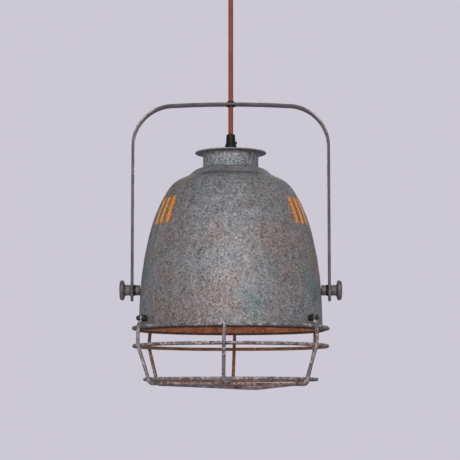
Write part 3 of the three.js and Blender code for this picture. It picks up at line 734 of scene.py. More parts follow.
# ================================================================== dimensions
WALL = 1.3
PIVOT_Z = 142.0
STRAP_X, STRAP_T, STRAP_W = 128.5, 3.2, 15.0
STRAP_TOP, STRAP_R, STRAP_ARCH, STRAP_END = 388.9, 55.0, 2.0, 127.6
CORD_R = 3.25
SWING_Z = 554.0
NECK_R, NECK_Z0 = 36.4, 302.1
CAP_R, CAP_Z0, CAP_Z1 = 46.9, 321.5, 323.1
WIRE_R = 2.3
RING_TOP, RING_MID, RING_LOW = (126.0, 92.3), (125.3, 69.3), (111.0, 26.3)
LEG_OUT = 2 * WIRE_R + 0.3
BEND_R = 6.5
FIX_Z = 103.0
FIX_AZ = (-64.0, 56.0, 177.0)
SLOT_AZ = (-59.7, 62.6, 181.5)
SLOT_STEP, SLOT_W, SLOT_Z = 8.2, 6.8, (223.6, 259.8)
PROFILE = [
    (36.1, 301.8), (41.2, 301.1), (46.4, 299.2), (50.4, 296.3), (54.2, 293.0), (58.6, 290.2), (63.0, 288.2), (67.2, 286.2),
    (71.7, 283.6), (75.9, 280.2), (79.7, 276), (83.2, 271), (87.7, 263), (92.0, 255), (95.4, 247), (98.6, 239.4),
    (101.3, 231.5), (104.8, 220), (107.6, 208), (110.1, 196), (112.5, 184), (114.2, 172), (116.0, 160), (117.2, 143),
    (118.2, 126), (118.8, 110), (119.2, 97), (119.7, 93.2), (120.7, 90.4),
]


def wall_at(z):
    for (r0, z0), (r1, z1) in zip(PROFILE, PROFILE[1:]):
        if z1 <= z <= z0:
            return r0 + (r1 - r0) * (z0 - z) / (z0 - z1)
    return PROFILE[-1][0]


# ======================================================================= shade
def make_shade():
    outer = [tuple(p) for p in spline(PROFILE, 1.7)]
    n = len(outer)
    inner = []
    for i, (r, z) in enumerate(outer):
        a, b = Vector(outer[max(0, i - 1)]), Vector(outer[min(n - 1, i + 1)])
        d = (b - a).normalized()
        inner.append((r + d.y * WALL, z - d.x * WALL))
    inner[0] = (36.1, 301.8 - WALL)
    # the rim is turned out a little and its edge is rounded
    lip = [(121.35, 89.75), (121.62, 89.2), (121.45, 88.6), (120.95, 88.3), (120.4, 88.45), (119.95, 89.1)]
    prof = outer + lip + inner[::-1][1:]
    mats = []
    no = len(outer)
    for i in range(len(prof)):
        mats.append(0 if i < no - 1 else 2 if i < no + len(lip) else 1)
    bm = lathe(prof, 224, True, mats, wobble=0.22)
    ob = to_object(bm, "shade_shell_fine", [MAT["zinc"], MAT["copper"], MAT["edge"]])

    cb = bmesh.new()
    for az0 in SLOT_AZ:
        for k in (-1, 0, 1):
            az = az0 + k * SLOT_STEP
            h = (SLOT_Z[1] - SLOT_Z[0]) / 2 - SLOT_W / 2
            ring = []
            for j in range(17):
                t = math.pi * j / 16
                ring.append((SLOT_W / 2 * math.cos(t), h + SLOT_W / 2 * math.sin(t)))
            for j in range(17):
                t = math.pi + math.pi * j / 16
                ring.append((SLOT_W / 2 * math.cos(t), -h + SLOT_W / 2 * math.sin(t)))
            e = azdir(az)
            side = Vector((-e.y, e.x, 0))
            zc = (SLOT_Z[0] + SLOT_Z[1]) / 2
            rows = [[cb.verts.new(e * r + side * x + Vector((0, 0, zc + y))) for x, y in ring] for r in (76, 132)]
            m = len(ring)
            for j in range(m):
                cb.faces.new((rows[0][j], rows[0][(j + 1) % m], rows[1][(j + 1) % m], rows[1][j]))
            cb.faces.new(rows[0])
            cb.faces.new(rows[1])
    for az in (90, -90):
        t = lathe([(0, 105), (3.3, 105), (3.3, 130), (0, 130)], 40, False)
        bmesh.ops.transform(t, matrix=out_matrix(az, PIVOT_Z), verts=t.verts[:])
        me = bpy.data.meshes.new("t")
        t.to_mesh(me)
        cb.from_mesh(me)
        t.free()
        bpy.data.meshes.remove(me)
    for az in FIX_AZ:
        t = lathe([(0, 108), (2.0, 108), (2.0, 130), (0, 130)], 32, False)
        bmesh.ops.transform(t, matrix=out_matrix(az, FIX_Z), verts=t.verts[:])
        me = bpy.data.meshes.new("t")
        t.to_mesh(me)
        cb.from_mesh(me)
        t.free()
        bpy.data.meshes.remove(me)
    for f in cb.faces:
        f.material_index = 1
    cutter = to_object(cb, "shade_cutter", [MAT["zinc"], MAT["copper"], MAT["edge"]])
    carve(ob, cutter)
    return place(ob, "shade_shell", angle=34)


shade = make_shade()

turned("neck_collar", [
    (34.6, 296.4), (35.7, 296.4), (35.7, NECK_Z0), (NECK_R, NECK_Z0), (NECK_R, 317.4), (36.9, 319.4), (38.0, 320.6),
    (39.6, CAP_Z0 - 0.3), (34.9, CAP_Z0 - 0.3), (34.9, NECK_Z0),
], [MAT["zinc_neck"]], seg=160, r=0.5, wobble=0.15)


def make_cap():
    prof = [
        (5.3, CAP_Z0), (40, CAP_Z0), (45.6, CAP_Z0 - 0.02), (46.6, CAP_Z0 + 0.15), (CAP_R, CAP_Z0 + 0.8), (46.6, CAP_Z1 - 0.1), (45.6, CAP_Z1),
        (44.2, CAP_Z1 - 0.12), (40, CAP_Z1 - 0.2), (20, CAP_Z1 - 0.1), (9.5, CAP_Z1), (5.3, CAP_Z1),
    ]
    bm = lathe(rounded(prof, 0.35, 3), 160, True, wobble=0.18)
    return place(to_object(bm, "neck_cap_fine", [MAT["zinc_dark"]]), "neck_cap", angle=30)


make_cap()

# gland on the cap, with two fine beads and a grub screw
turned("cord_gland", [
    (5.2, CAP_Z1 + 0.3), (7.4, CAP_Z1 + 0.3), (7.6, CAP_Z1 + 0.8), (7.6, 327.6), (7.25, 328.0), (7.25, 328.9), (7.6, 329.3), (7.6, 333.0),
    (7.2, 333.8), (6.4, 334.1), (6.2, 337.6), (6.0, 341), (5.7, 345.6), (5.3, 346.9), (4.6, 347.3), (3.6, 347.0), (3.55, 332.2), (5.2, 332.2),
], [MAT["plastic"]], seg=72, r=0.3)
SCREW = [(0, 3.9), (1.5, 3.9), (1.5, 6.8), (1.85, 7.0), (1.9, 7.9), (1.4, 8.2), (1.0, 8.2), (0.9, 7.2), (0, 7.1)]
turned("gland_screw", SCREW, [MAT["black"]], seg=40, r=0.15, closed=False, az=90, z=336.2)
turned("threaded_nipple", [(3.6, 305.5), (4.9, 305.5)] + [(4.9 - 0.28 * (k % 2), 306.2 + 0.6 * k) for k in range(42)] + [(4.9, 331.8), (3.6, 331.8)], [MAT["steel"]], seg=48, r=0.12, n=2)
place(to_object(hexagon(14, 5.2, 317.6, CAP_Z0 - 0.3), "nipple_nut_fine", [MAT["steel"]]), "nipple_nut")

# ================================================================== lampholder
turned("lampholder_cap", [
    (5.2, 317), (10, 317), (16, 315.6), (19.8, 312.4), (21.6, 307.5), (22, 300), (22, 291.3),
    (20.4, 291.3), (20.4, 300), (20, 306.8), (18.4, 311.2), (15.3, 314.1), (9.8, 315.4), (5.2, 315.4),
], [MAT["plastic"]], seg=96, r=0.9)
rib = [(22, 291), (22, 288.2), (21.4, 287.2)]
for k in range(9):
    rib += [(20.9 - 0.02 * k, 285.6 - 2.7 * k), (20.0 - 0.02 * k, 284.6 - 2.7 * k)]
turned("lampholder_body", rib + [(20.2, 260.4), (19.6, 258), (17.4, 258), (17.4, 291)], [MAT["plastic"]], seg=96, r=0.5)
turned("lampholder_core", [(0, 297), (17, 297), (17, 290.5), (16.9, 285.6), (16.2, 284.6), (12.0, 284.6), (11.4, 285.1), (6.5, 285.1), (6.0, 284.65), (0, 284.65)], [MAT["ceramic"]], seg=72, r=0.4, closed=False)


def threaded(node, r_mid, depth, pitch, z0, z1, wall, mats, ends, seg=96, per=6):
    """a rolled thread: wall of sheet whose radius follows a helix"""
    bm = bmesh.new()
    rows = []
    n = int((z1 - z0) / pitch * per)

    def ring(off, z, fade):
        out = []
        for k in range(seg):
            t = 2 * math.pi * k / seg
            r = r_mid + off + fade * depth * math.sin(2 * math.pi * z / pitch - t)
            out.append(bm.verts.new((r * math.cos(t), r * math.sin(t), z)))
        return out

    for i in range(n + 1):
        z = z0 + (z1 - z0) * i / n
        fade = min(1.0, i / per, (n - i) / per)
        rows.append(ring(0, z, fade))
    back = []
    for i in range(n + 1):
        z = z0 + (z1 - z0) * i / n
        fade = min(1.0, i / per, (n - i) / per)
        back.append(ring(-wall, z, fade))
    for extra in ends:
        rows.append([bm.verts.new((extra[0] * math.cos(2 * math.pi * k / seg), extra[0] * math.sin(2 * math.pi * k / seg), extra[1])) for k in range(seg)])
    tail = [[bm.verts.new((x[0] * math.cos(2 * math.pi * k / seg), x[0] * math.sin(2 * math.pi * k / seg), x[1])) for k in range(seg)] for x in (ends_in(ends, wall))]
    loop = rows + tail + back[::-1]
    for i in range(len(loop)):
        a, b = loop[i], loop[(i + 1) % len(loop)]
        for k in range(seg):
            bm.faces.new((a[k], a[(k + 1) % seg], b[(k + 1) % seg], b[k]))
    return place(to_object(bm, node + "_fine", mats), node)


def ends_in(ends, wall):
    return [(max(0.5, r - wall * 0.8), z - wall * 0.8) for r, z in reversed(ends)]


threaded("lampholder_sleeve", 15.15, 0.28, 3.6, 260.0, 284.2, 0.55, [MAT["brass"]], [])
place(to_object(boxy(-5, 5, -2, 2, 283.3, 284.3, 0.25), "lampholder_contact_fine", [MAT["brass"]]), "lampholder_contact")

# ======================================================================== bulb
threaded("bulb_cap", 12.75, 0.42, 3.6, 256.6, 276.4, 0.5, [MAT["steel"]], [(12.1, 277.8), (8.0, 279.9), (5.8, 280.7), (3.0, 280.85)])
turned("bulb_contact", [(0, 282.9), (2.4, 282.85), (4.2, 282.0), (4.6, 281.4), (4.6, 281.2), (0, 281.2)], [MAT["brass"]], seg=48, r=0.25, closed=False)


def make_bulb():
    out = [tuple(p) for p in spline([(11.6, 274), (11.7, 262), (11.8, 252), (14.0, 244.5), (17.0, 238), (22.2, 229.6), (26.6, 221), (29.3, 211.5), (29.9, 203), (28.9, 193.5), (25.6, 184.0), (20.6, 176.9), (14.2, 172.0), (7.2, 169.9), (0.0, 169.4)], 1.4)]
    out[-1] = (0.0, out[-1][1])
    inn = [tuple(p) for p in spline([(0.0, 170.3), (7.0, 170.8), (13.7, 172.9), (19.9, 177.7), (24.7, 184.4), (28.0, 193.8), (29.0, 203), (28.4, 211.2), (25.7, 220.6), (21.4, 229.0), (16.1, 237.5), (13.1, 244.2), (10.9, 252), (10.8, 262), (10.7, 274)], 1.4)]
    inn[0] = (0.0, inn[0][1])
    bm = bmesh.new()
    seg = 112
    rings = []
    for r, z in out + inn:
        if r < 1e-5:
            rings.append([bm.verts.new((0, 0, z))])
        else:
            rings.append([bm.verts.new((r * math.cos(2 * math.pi * k / seg), r * math.sin(2 * math.pi * k / seg), z)) for k in range(seg)])
    N = len(rings)
    for i in range(N):
        a, b = rings[i], rings[(i + 1) % N]
        if len(a) == 1 and len(b) == 1:
            continue
        for k in range(seg):
            j = (k + 1) % seg
            if len(a) == 1:
                bm.faces.new((a[0], b[j], b[k]))
            elif len(b) == 1:
                bm.faces.new((a[k], a[j], b[0]))
            else:
                bm.faces.new((a[k], a[j], b[j], b[k]))
    return place(to_object(bm, "bulb_glass_fine", [MAT["bulb"]]), "bulb_glass")


make_bulb()

# ============================================================ pivots and knobs
rw = wall_at(PIVOT_Z)
xi, xo = STRAP_X - STRAP_T / 2, STRAP_X + STRAP_T / 2
for side, az in (("right", 90), ("left", -90)):
    turned(f"pivot_stud_{side}", [(0, 109.5), (2.2, 109.5), (2.9, 110.3)] + [(2.9 - 0.22 * (k % 2), 110.8 + 0.5 * k) for k in range(18)] + [(2.9, 120.2), (2.9, 141.2), (2.6, 141.4), (0, 141.4)], [MAT["steel"]], seg=40, r=0.1, closed=False, az=az, z=PIVOT_Z, n=2)
    nut = hexagon(10, 3.2, rw - WALL - 5.2, rw - WALL - 0.7)
    bmesh.ops.transform(nut, matrix=out_matrix(az, PIVOT_Z), verts=nut.verts[:])
    place(to_object(nut, f"pivot_nut_{side}_fine", [MAT["steel"]]), f"pivot_nut_{side}")
    turned(f"pivot_spacer_{side}", [(3.2, rw + 0.75), (6.5, rw + 0.75), (6.8, rw + 1.3), (6.8, 123.0), (6.5, 123.6), (3.2, 123.6)], [MAT["knob"]], seg=64, r=0.3, az=az, z=PIVOT_Z, wear=True)
    turned(f"friction_washer_{side}", [(3.2, 123.9), (6.9, 123.9), (7.3, 124.4), (7.3, 126.1), (6.9, xi - 0.3), (3.2, xi - 0.3)], [MAT["rubber"]], seg=64, r=0.3, az=az, z=PIVOT_Z)
    turned(f"outer_washer_{side}", [(3.2, xo + 0.3), (7.4, xo + 0.3), (7.4, xo + 1.3), (3.2, xo + 1.3)], [MAT["knob"]], seg=64, r=0.25, az=az, z=PIVOT_Z, wear=True)
    k = xo + 1.6
    turned(f"knob_{side}", [
        (0, 142), (3.2, 142), (3.2, k), (6.4, k), (6.95, k + 0.6), (6.95, 136.4), (7.5, 137.4), (11.3, 138.5), (12.6, 139.1), (13.1, 140.3),
        (13.0, 142.1), (12.1, 143.6), (10.4, 144.4), (6.4, 144.75), (0, 144.88),
    ], [MAT["knob"]], seg=96, r=0.5, closed=False, az=az, z=PIVOT_Z, wear=True)


# ====================================================================== handle
def make_strap():
    xm = STRAP_X
    rm = STRAP_R - STRAP_T / 2
    zt = STRAP_TOP - STRAP_ARCH - STRAP_T / 2
    pts = []
    # half widths along the path; the lower ends are half round seen from the side
    for k in range(13):
        t = (6 + 84 * k / 12) * D2R
        pts.append((Vector((-xm, 0, STRAP_END + 7.5 * (1 - math.cos(t)))), 7.5 * math.sin(t)))
    z = STRAP_END + 7.5
    top_leg = zt - rm
    n = 60
    for k in range(1, n + 1):
        pts.append((Vector((-xm, 0, z + (top_leg - z) * k / n)), 7.5))
    for k in range(1, 25):
        t = math.pi - math.pi / 2 * k / 24
        pts.append((Vector((-xm + rm + rm * math.cos(t), 0, top_leg + rm * math.sin(t))), 7.5))
    n = 40
    x0 = -xm + rm
    for k in range(1, n):
        f = k / n
        pts.append((Vector((x0 - 2 * x0 * f, 0, zt + 4 * STRAP_ARCH * f * (1 - f))), 7.5))
    mirror = [(Vector((-p.x, 0, p.z)), w) for p, w in pts[:len(pts) - (n - 1)]]
    pts = pts + mirror[::-1]
    # slight hand-bent unevenness
    P = []
    for i, (p, w) in enumerate(pts):
        j = 0.16 * mnoise.noise(Vector((p.x * 0.03, 0, p.z * 0.03)))
        P.append(p + Vector((0, j, 0)))
    W = [w for p, w in pts]

    def section(i, s):
        w, t = W[i], STRAP_T / 2
        c = min(0.55, w * 0.35)
        out = []
        cols = (-1.0, -0.86, -0.5, 0.0, 0.5, 0.86, 1.0)
        for f in cols:
            out.append((t, f * (w - c)))
        for a in (67.5, 45, 22.5):
            out.append((t - c + c * math.sin(a * D2R), w - c + c * math.cos(a * D2R)))
        out.append((0.0, w))
        for a in (22.5, 45, 67.5):
            out.append((-(t - c) - c * math.sin(a * D2R), w - c + c * math.cos(a * D2R)))
        for f in reversed(cols):
            out.append((-t, f * (w - c)))
        for a in (67.5, 45, 22.5):
            out.append((-(t - c) - c * math.sin(a * D2R), -(w - c) - c * math.cos(a * D2R)))
        out.append((0.0, -w))
        for a in (22.5, 45, 67.5):
            out.append((t - c + c * math.sin(a * D2R), -(w - c) - c * math.cos(a * D2R)))
        return out

    bm = bmesh.new()
    sweep(bm, P, section, first=Vector((-1, 0, 0)))
    ob = to_object(bm, "handle_strap_fine", [MAT["strap"]])
    cb = lathe([(0, STRAP_TOP - 10), (4.9, STRAP_TOP - 10), (4.9, STRAP_TOP + 5), (0, STRAP_TOP + 5)], 48, False)
    for az in (90, -90):
        t = lathe([(0, 120), (3.4, 120), (3.4, 135), (0, 135)], 40, False)
        bmesh.ops.transform(t, matrix=out_matrix(az, PIVOT_Z), verts=t.verts[:])
        me = bpy.data.meshes.new("t")
        t.to_mesh(me)
        cb.from_mesh(me)
        t.free()
        bpy.data.meshes.remove(me)
    carve(ob, to_object(cb, "strap_cutter", [MAT["strap"]]))

    def wear(co, no):
        edge = max(0.0, (abs(co.y) - 6.4) / 1.1)
        return min(1.0, edge)

    def bend(co, no):
        # the outside of the two corner bends rubs through to metal, and its upper outer half carries a painted
        # highlight
        dx, dz = abs(co.x) - (STRAP_X - STRAP_R), co.z - (STRAP_TOP - STRAP_ARCH - STRAP_R)
        if dx <= 0 or dz <= 0:
            return 0.0
        out = math.hypot(dx, dz) - (STRAP_R - STRAP_T / 2)
        return max(0.0, math.sin(2 * math.atan2(dz, dx)) * 1.3 - 0.25) * max(0.0, min(1.0, out / 1.1))

    float_attr(ob, "wear", wear)
    float_attr(ob, "bend", bend)
    return place(ob, "handle_strap", angle=34)


make_strap()
t, b = STRAP_TOP, STRAP_TOP - STRAP_T
turned("handle_grommet", [
    (3.6, b - 1.7), (5.2, b - 1.7), (6.0, b - 1.3), (6.0, b - 0.3), (4.6, b - 0.3), (4.6, t + 0.3),
    (5.4, t + 0.3), (5.2, t + 1.3), (4.6, t + 2.4), (3.6, t + 2.8),
], [MAT["plastic"]], seg=72, r=0.35)


# ======================================================================= guard
def inwardness(co, no):
    """how far a point of the guard faces the bulb"""
    d = (Vector((0, 0, 150)) - Vector(co)).normalized()
    flat = Vector((-co[0], -co[1], 0))
    if flat.length > 1:
        d = (d * 0.45 + flat.normalized() * 0.55).normalized()
    return max(0.0, min(1.0, 0.35 + 0.75 * no.dot(d)))


def upness(co, no):
    return no.z


def make_ring(name, R):
    pts = []
    n = 288
    for k in range(n):
        t = 2 * math.pi * k / n
        j = 0.22 * mnoise.noise(Vector((math.cos(t) * 2.1, math.sin(t) * 2.1, R[1] * 0.1)))
        h = 0.25 * mnoise.noise(Vector((math.cos(t) * 1.7 + 7, math.sin(t) * 1.7, R[1] * 0.1)))
        pts.append(Vector(((R[0] + j) * math.cos(t), (R[0] + j) * math.sin(t), R[1] + h)))
    bm = bmesh.new()

    def section(i, s):
        k = 1 + 0.03 * mnoise.noise(pts[i] * 0.08)
        return circle(WIRE_R * k, 20)

    # the ring is its own closed loop
    sweep(bm, pts, section, first=Vector((0, 0, 1)), closed=True)
    ob = to_object(bm, f"guard_ring_{name}_fine", [MAT["guard"]])
    float_attr(ob, "inward", inwardness)
    float_attr(ob, "up", upness)
    return place(ob, f"guard_ring_{name}")


for nm, R in (("top", RING_TOP), ("middle", RING_MID), ("bottom", RING_LOW)):
    make_ring(nm, R)

LT, LM, LB = RING_TOP[0] + LEG_OUT, RING_MID[0] + LEG_OUT, RING_LOW[0] + LEG_OUT
BEND = (RING_LOW[0] - 1.25, RING_LOW[1] + 0.85)
ZU = BEND[1] - BEND_R


def at(az, r, z):
    e = azdir(az)
    return Vector((e.x * r, e.y * r, z))


def leg(azs, tab):
    """one leg: the wire is bent by hand and meets the three rings at slightly different azimuths"""
    az, at1, at2, at3 = azs
    if tab:
        p = [at(az, 127.6, 106.9), at(az, 127.6, 103), at(az, 127.6, 99.8), at(az, 127.9, 97.9), at((az + at1) / 2, 129.6, 95.8), at(at1, LT, 92.3)]
    else:
        p = [at(at1, LT - 0.2, 97.6), at(at1, LT, 92.3)]

    def lean(z):
        f = min(1.0, max(0.0, (RING_MID[1] - z) / (RING_MID[1] - RING_LOW[1])))
        return at(at2 + (at3 - at2) * f, LM + (LB - LM) * f, z)

    p += [at((at1 + at2) / 2, LT, 82), at(at2, LM, 71.5), lean(66.5), lean(56), lean(44), lean(34)]
    p += [at(at3, BEND[0] + BEND_R * math.cos(t * D2R), BEND[1] - BEND_R * math.sin(t * D2R)) for t in (0, 22.5, 45, 67.5, 90)]
    p.append(at(at3, BEND[0] - 3.6, ZU))
    return p


def make_wire(name, azs1, azs2, mid_xy, zm):
    mx, my = mid_xy
    az1 = azs1[0]

    def mid(az, f):
        q = at(az, BEND[0] - 3.6, ZU)
        return Vector((q.x * f + mx * (1 - f), q.y * f + my * (1 - f), ZU * f + zm * (1 - f)))

    ctrl = leg(azs1, True) + [mid(azs1[3], 0.7), mid(azs1[3], 0.38), Vector((mx, my, zm)), mid(azs2[3], 0.38), mid(azs2[3], 0.7)] + leg(azs2, False)[::-1]
    pts = spline(ctrl, 1.6)
    total = sum((pts[i] - pts[i - 1]).length for i in range(1, len(pts)))
    SIDES = 20

    def section(i, s):
        z = pts[i].z
        k = 1 + 0.03 * mnoise.noise(pts[i] * 0.09)
        near_tab = s < 30
        f = max(0.0, min(1.0, (z - 94.8) / 3.4)) if near_tab else 0.0
        f = f * f * (3 - 2 * f)
        a = WIRE_R * k * (1 - f) + 1.3 * f        # through the tab, radial
        b = WIRE_R * k * (1 - f) + 3.35 * f       # across the tab
        if near_tab and z > 103:                   # the tab's round top
            b *= math.sqrt(max(0.02, 1 - ((z - 103) / 4.0) ** 2))
        left = total - s
        if left < 2.0:                             # the plain end is rounded off
            q = math.sqrt(max(0.03, 1 - ((2.0 - left) / 2.05) ** 2))
            a, b = a * q, b * q
        e = 2.0 / (2.0 + 2.6 * f)                  # squarer section on the tab
        out = []
        for j in range(SIDES):
            t = 2 * math.pi * j / SIDES
            c, d = math.cos(t), math.sin(t)
            out.append((a * math.copysign(abs(c) ** e, c), b * math.copysign(abs(d) ** e, d)))
        return out

    bm = bmesh.new()
    sweep(bm, pts, section, first=azdir(az1))
    ob = to_object(bm, f"guard_wire_{name}_fine", [MAT["guard"]])
    cb = lathe([(0, 120), (1.9, 120), (1.9, 135), (0, 135)], 32, False)
    bmesh.ops.transform(cb, matrix=out_matrix(az1, FIX_Z), verts=cb.verts[:])
    carve(ob, to_object(cb, "tab_cutter", [MAT["guard"]]))
    # weld beads in the corners between the leg and each ring
    wb = bmesh.new()
    wb.from_mesh(ob.data)
    seed = az1
    for azs in (azs1, azs2):
        for az, (R, z) in zip(azs[1:], (RING_TOP, RING_MID, RING_LOW)):
            e = azdir(az)
            s = Vector((-e.y, e.x, 0))
            rr = R + WIRE_R + 0.1 if z > 30 else R + 1.7
            zz = z if z > 30 else z - 1.6
            for sgn in (-1, 1):
                seed += 3.7
                blob(wb, e * rr + s * (sgn * 1.9) + Vector((0, 0, zz)), (1.35, 1.25, 1.5), Vector((0, 0, 1)), e, seed)
    me = ob.data
    mats = [m for m in me.materials]
    bmesh.ops.recalc_face_normals(wb, faces=wb.faces[:])
    wb.to_mesh(me)
    wb.free()
    float_attr(ob, "inward", inwardness)
    float_attr(ob, "up", upness)
    return place(ob, f"guard_wire_{name}")


for nm, a1, a2, mid_xy, zm in (
    ("a", (-64, -62.8, -64.2, -63.6), (120.5, 120.5, 120.3, 118), (14, 0), 20.2),
    ("b", (56, 55.4, 55.8, 55.4), (-124.2, -124.2, -122.8, -121.5), (32, -2), 15.2),
    ("c", (177, 177.6, 177.9, 178.4), (-3.4, -3.4, -3.7, -4.4), (-2, 0), 25.1),
):
    make_wire(nm, a1, a2, mid_xy, zm)

rf = wall_at(FIX_Z)
for i, az in enumerate(FIX_AZ):
    nm = "abc"[i]
    turned(f"guard_screw_{nm}", [(0, rf - 6.9), (1.2, rf - 6.9), (1.6, rf - 6.4), (1.6, 129.2), (2.7, 129.2), (3.15, 129.6), (3.35, 130.3), (3.1, 131.2), (2.4, 132.05), (1.4, 132.6), (0, 132.8)],
           [MAT["black"]], seg=48, r=0.12, closed=False, az=az, z=FIX_Z)
    for node, af, z0, z1, m in ((f"guard_spacer_{nm}", 7.6, rf + 0.5, 126.0, "black"), (f"guard_nut_{nm}", 6.2, rf - WALL - 3.7, rf - WALL - 0.9, "steel")):
        h = hexagon(af, 1.9, z0, z1, 0.4)
        bmesh.ops.transform(h, matrix=out_matrix(az, FIX_Z), verts=h.verts[:])
        place(to_object(h, node + "_fine", [MAT[m]]), node)


# ============================================================== ceiling fixing
def make_canopy():
    outer = [(5.3, 572), (14, 572), (15, 572.5), (38, 572.9), (43.2, 573.6), (46.4, 575.2), (48.6, 577.9), (49.7, 581.6), (50, 586), (50, 616.5), (49.9, 618.4), (49.95, 619.2), (49.7, 619.7)]
    inner = [(48.9, 619.6), (48.75, 618.5), (48.8, 586), (48.5, 582), (47.5, 578.7), (45.6, 576.3), (42.8, 574.9), (38, 574.1), (15, 573.7), (14, 573.2), (5.3, 573.2)]
    prof = rounded(outer + inner, 0.9, 5)
    cut = next(i for i, p in enumerate(prof) if p[1] > 619.3 and p[0] < 49.2)
    mats = [0 if i < cut else 1 for i in range(len(prof))]
    mats[-1] = 2
    bm = lathe(prof, 144, True, mats, wobble=0.12)
    ob = to_object(bm, "canopy_cup_fine", [MAT["zinc"], MAT["steel"], MAT["edge"]])
    cb = bmesh.new()
    for az in (90, -90):
        t = lathe([(0, 46), (2.2, 46), (2.2, 54), (0, 54)], 32, False)
        bmesh.ops.transform(t, matrix=out_matrix(az, CEIL - 12), verts=t.verts[:])
        me = bpy.data.meshes.new("t")
        t.to_mesh(me)
        cb.from_mesh(me)
        t.free()
        bpy.data.meshes.remove(me)
    carve(ob, to_object(cb, "canopy_cutter", [MAT["zinc"]]))
    return place(ob, "canopy_cup", angle=34)


make_canopy()
for side, az in (("right", 90), ("left", -90)):
    turned(f"canopy_screw_{side}", [(0, 43), (1.2, 43), (1.6, 43.5), (1.6, 50.3), (3.6, 50.3), (3.55, 50.9), (3.1, 51.8), (2.0, 52.5), (1.1, 52.7), (0.95, 51.6), (0, 51.5)],
           [MAT["steel"]], seg=48, r=0.12, closed=False, az=az, z=CEIL - 12)


def make_crossbar():
    bm = boxy(-47.6, 47.6, -8, 8, CEIL - 3, CEIL, 0.5)
    ob = to_object(bm, "ceiling_crossbar_fine", [MAT["steel"]])
    arms = bmesh.new()
    boxy(44.6, 47.6, -8, 8, CEIL - 18, CEIL - 0.6, 0.5, arms)
    boxy(-47.6, -44.6, -8, 8, CEIL - 18, CEIL - 0.6, 0.5, arms)
    arm = to_object(arms, "arms", [MAT["steel"]])
    mod = ob.modifiers.new("join", "BOOLEAN")
    mod.object, mod.operation, mod.solver = arm, "UNION", "EXACT"
    bpy.context.view_layer.update()
    me = bpy.data.meshes.new_from_object(ob.evaluated_get(bpy.context.evaluated_depsgraph_get()))
    ob.modifiers.clear()
    ob.data = me
    am = arm.data
    bpy.data.objects.remove(arm)
    bpy.data.meshes.remove(am)
    cb = bmesh.new()
    for x in (28, -28):
        t = lathe([(0, CEIL - 6), (2.4, CEIL - 6), (2.4, CEIL + 3), (0, CEIL + 3)], 32, False)
        bmesh.ops.translate(t, vec=(x, 0, 0), verts=t.verts[:])
        tm = bpy.data.meshes.new("t")
        t.to_mesh(tm)
        cb.from_mesh(tm)
        t.free()
        bpy.data.meshes.remove(tm)
    for az in (90, -90):
        t = lathe([(0, 40), (1.9, 40), (1.9, 50), (0, 50)], 24, False)
        bmesh.ops.transform(t, matrix=out_matrix(az, CEIL - 12), verts=t.verts[:])
        tm = bpy.data.meshes.new("t")
        t.to_mesh(tm)
        cb.from_mesh(tm)
        t.free()
        bpy.data.meshes.remove(tm)
    carve(ob, to_object(cb, "bar_cutter", [MAT["steel"]]))
    return place(ob, "ceiling_crossbar", angle=30)


make_crossbar()


def make_block():
    bm = boxy(-15, 15, -7, 7, CEIL - 18.5, CEIL - 3.3, 1.0)
    ob = to_object(bm, "terminal_block_fine", [MAT["ceramic"], MAT["brass"]])
    cb = bmesh.new()
    for x in (-8, 0, 8):
        for y in (0,):
            t = lathe([(0, CEIL - 19.5), (2.1, CEIL - 19.5), (2.1, CEIL - 15.5), (0, CEIL - 15.5)], 32, False)
            bmesh.ops.translate(t, vec=(x, y, 0), verts=t.verts[:])
            tm = bpy.data.meshes.new("t")
            t.to_mesh(tm)
            cb.from_mesh(tm)
            t.free()
            bpy.data.meshes.remove(tm)
        # screw wells on the front
        t = lathe([(0, -9), (2.4, -9), (2.4, -4.4), (0, -4.4)], 32, False)
        bmesh.ops.transform(t, matrix=Matrix.Translation((x, 0, CEIL - 11)) @ Matrix.Rotation(-math.pi / 2, 4, "X"), verts=t.verts[:])
        tm = bpy.data.meshes.new("t")
        t.to_mesh(tm)
        cb.from_mesh(tm)
        t.free()
        bpy.data.meshes.remove(tm)
    for x in (-4, 4):
        boxy(x - 0.5, x + 0.5, -8, -6.2, CEIL - 20, CEIL - 2, 0.1, cb)
        boxy(x - 0.5, x + 0.5, 6.2, 8, CEIL - 20, CEIL - 2, 0.1, cb)
    carve(ob, to_object(cb, "block_cutter", [MAT["ceramic"]]))
    # brass screws in the wells
    wb = bmesh.new()
    wb.from_mesh(ob.data)
    for x in (-8, 0, 8):
        n0 = len(wb.faces)
        t = lathe(rounded([(0, -4.5), (2.1, -4.5), (2.1, -5.6), (1.7, -6.0), (0.9, -6.05), (0.8, -5.4), (0, -5.35)], 0.15, 2, False), 32, False)
        for f in t.faces:
            f.material_index = 1
        bmesh.ops.transform(t, matrix=Matrix.Translation((x, 0, CEIL - 11)) @ Matrix.Rotation(-math.pi / 2, 4, "X"), verts=t.verts[:])
        bmesh.ops.recalc_face_normals(t, faces=t.faces[:])
        tm = bpy.data.meshes.new("t")
        t.to_mesh(tm)
        wb.from_mesh(tm)
        t.free()
        bpy.data.meshes.remove(tm)
    wb.to_mesh(ob.data)
    wb.free()
    return place(ob, "terminal_block", angle=30)


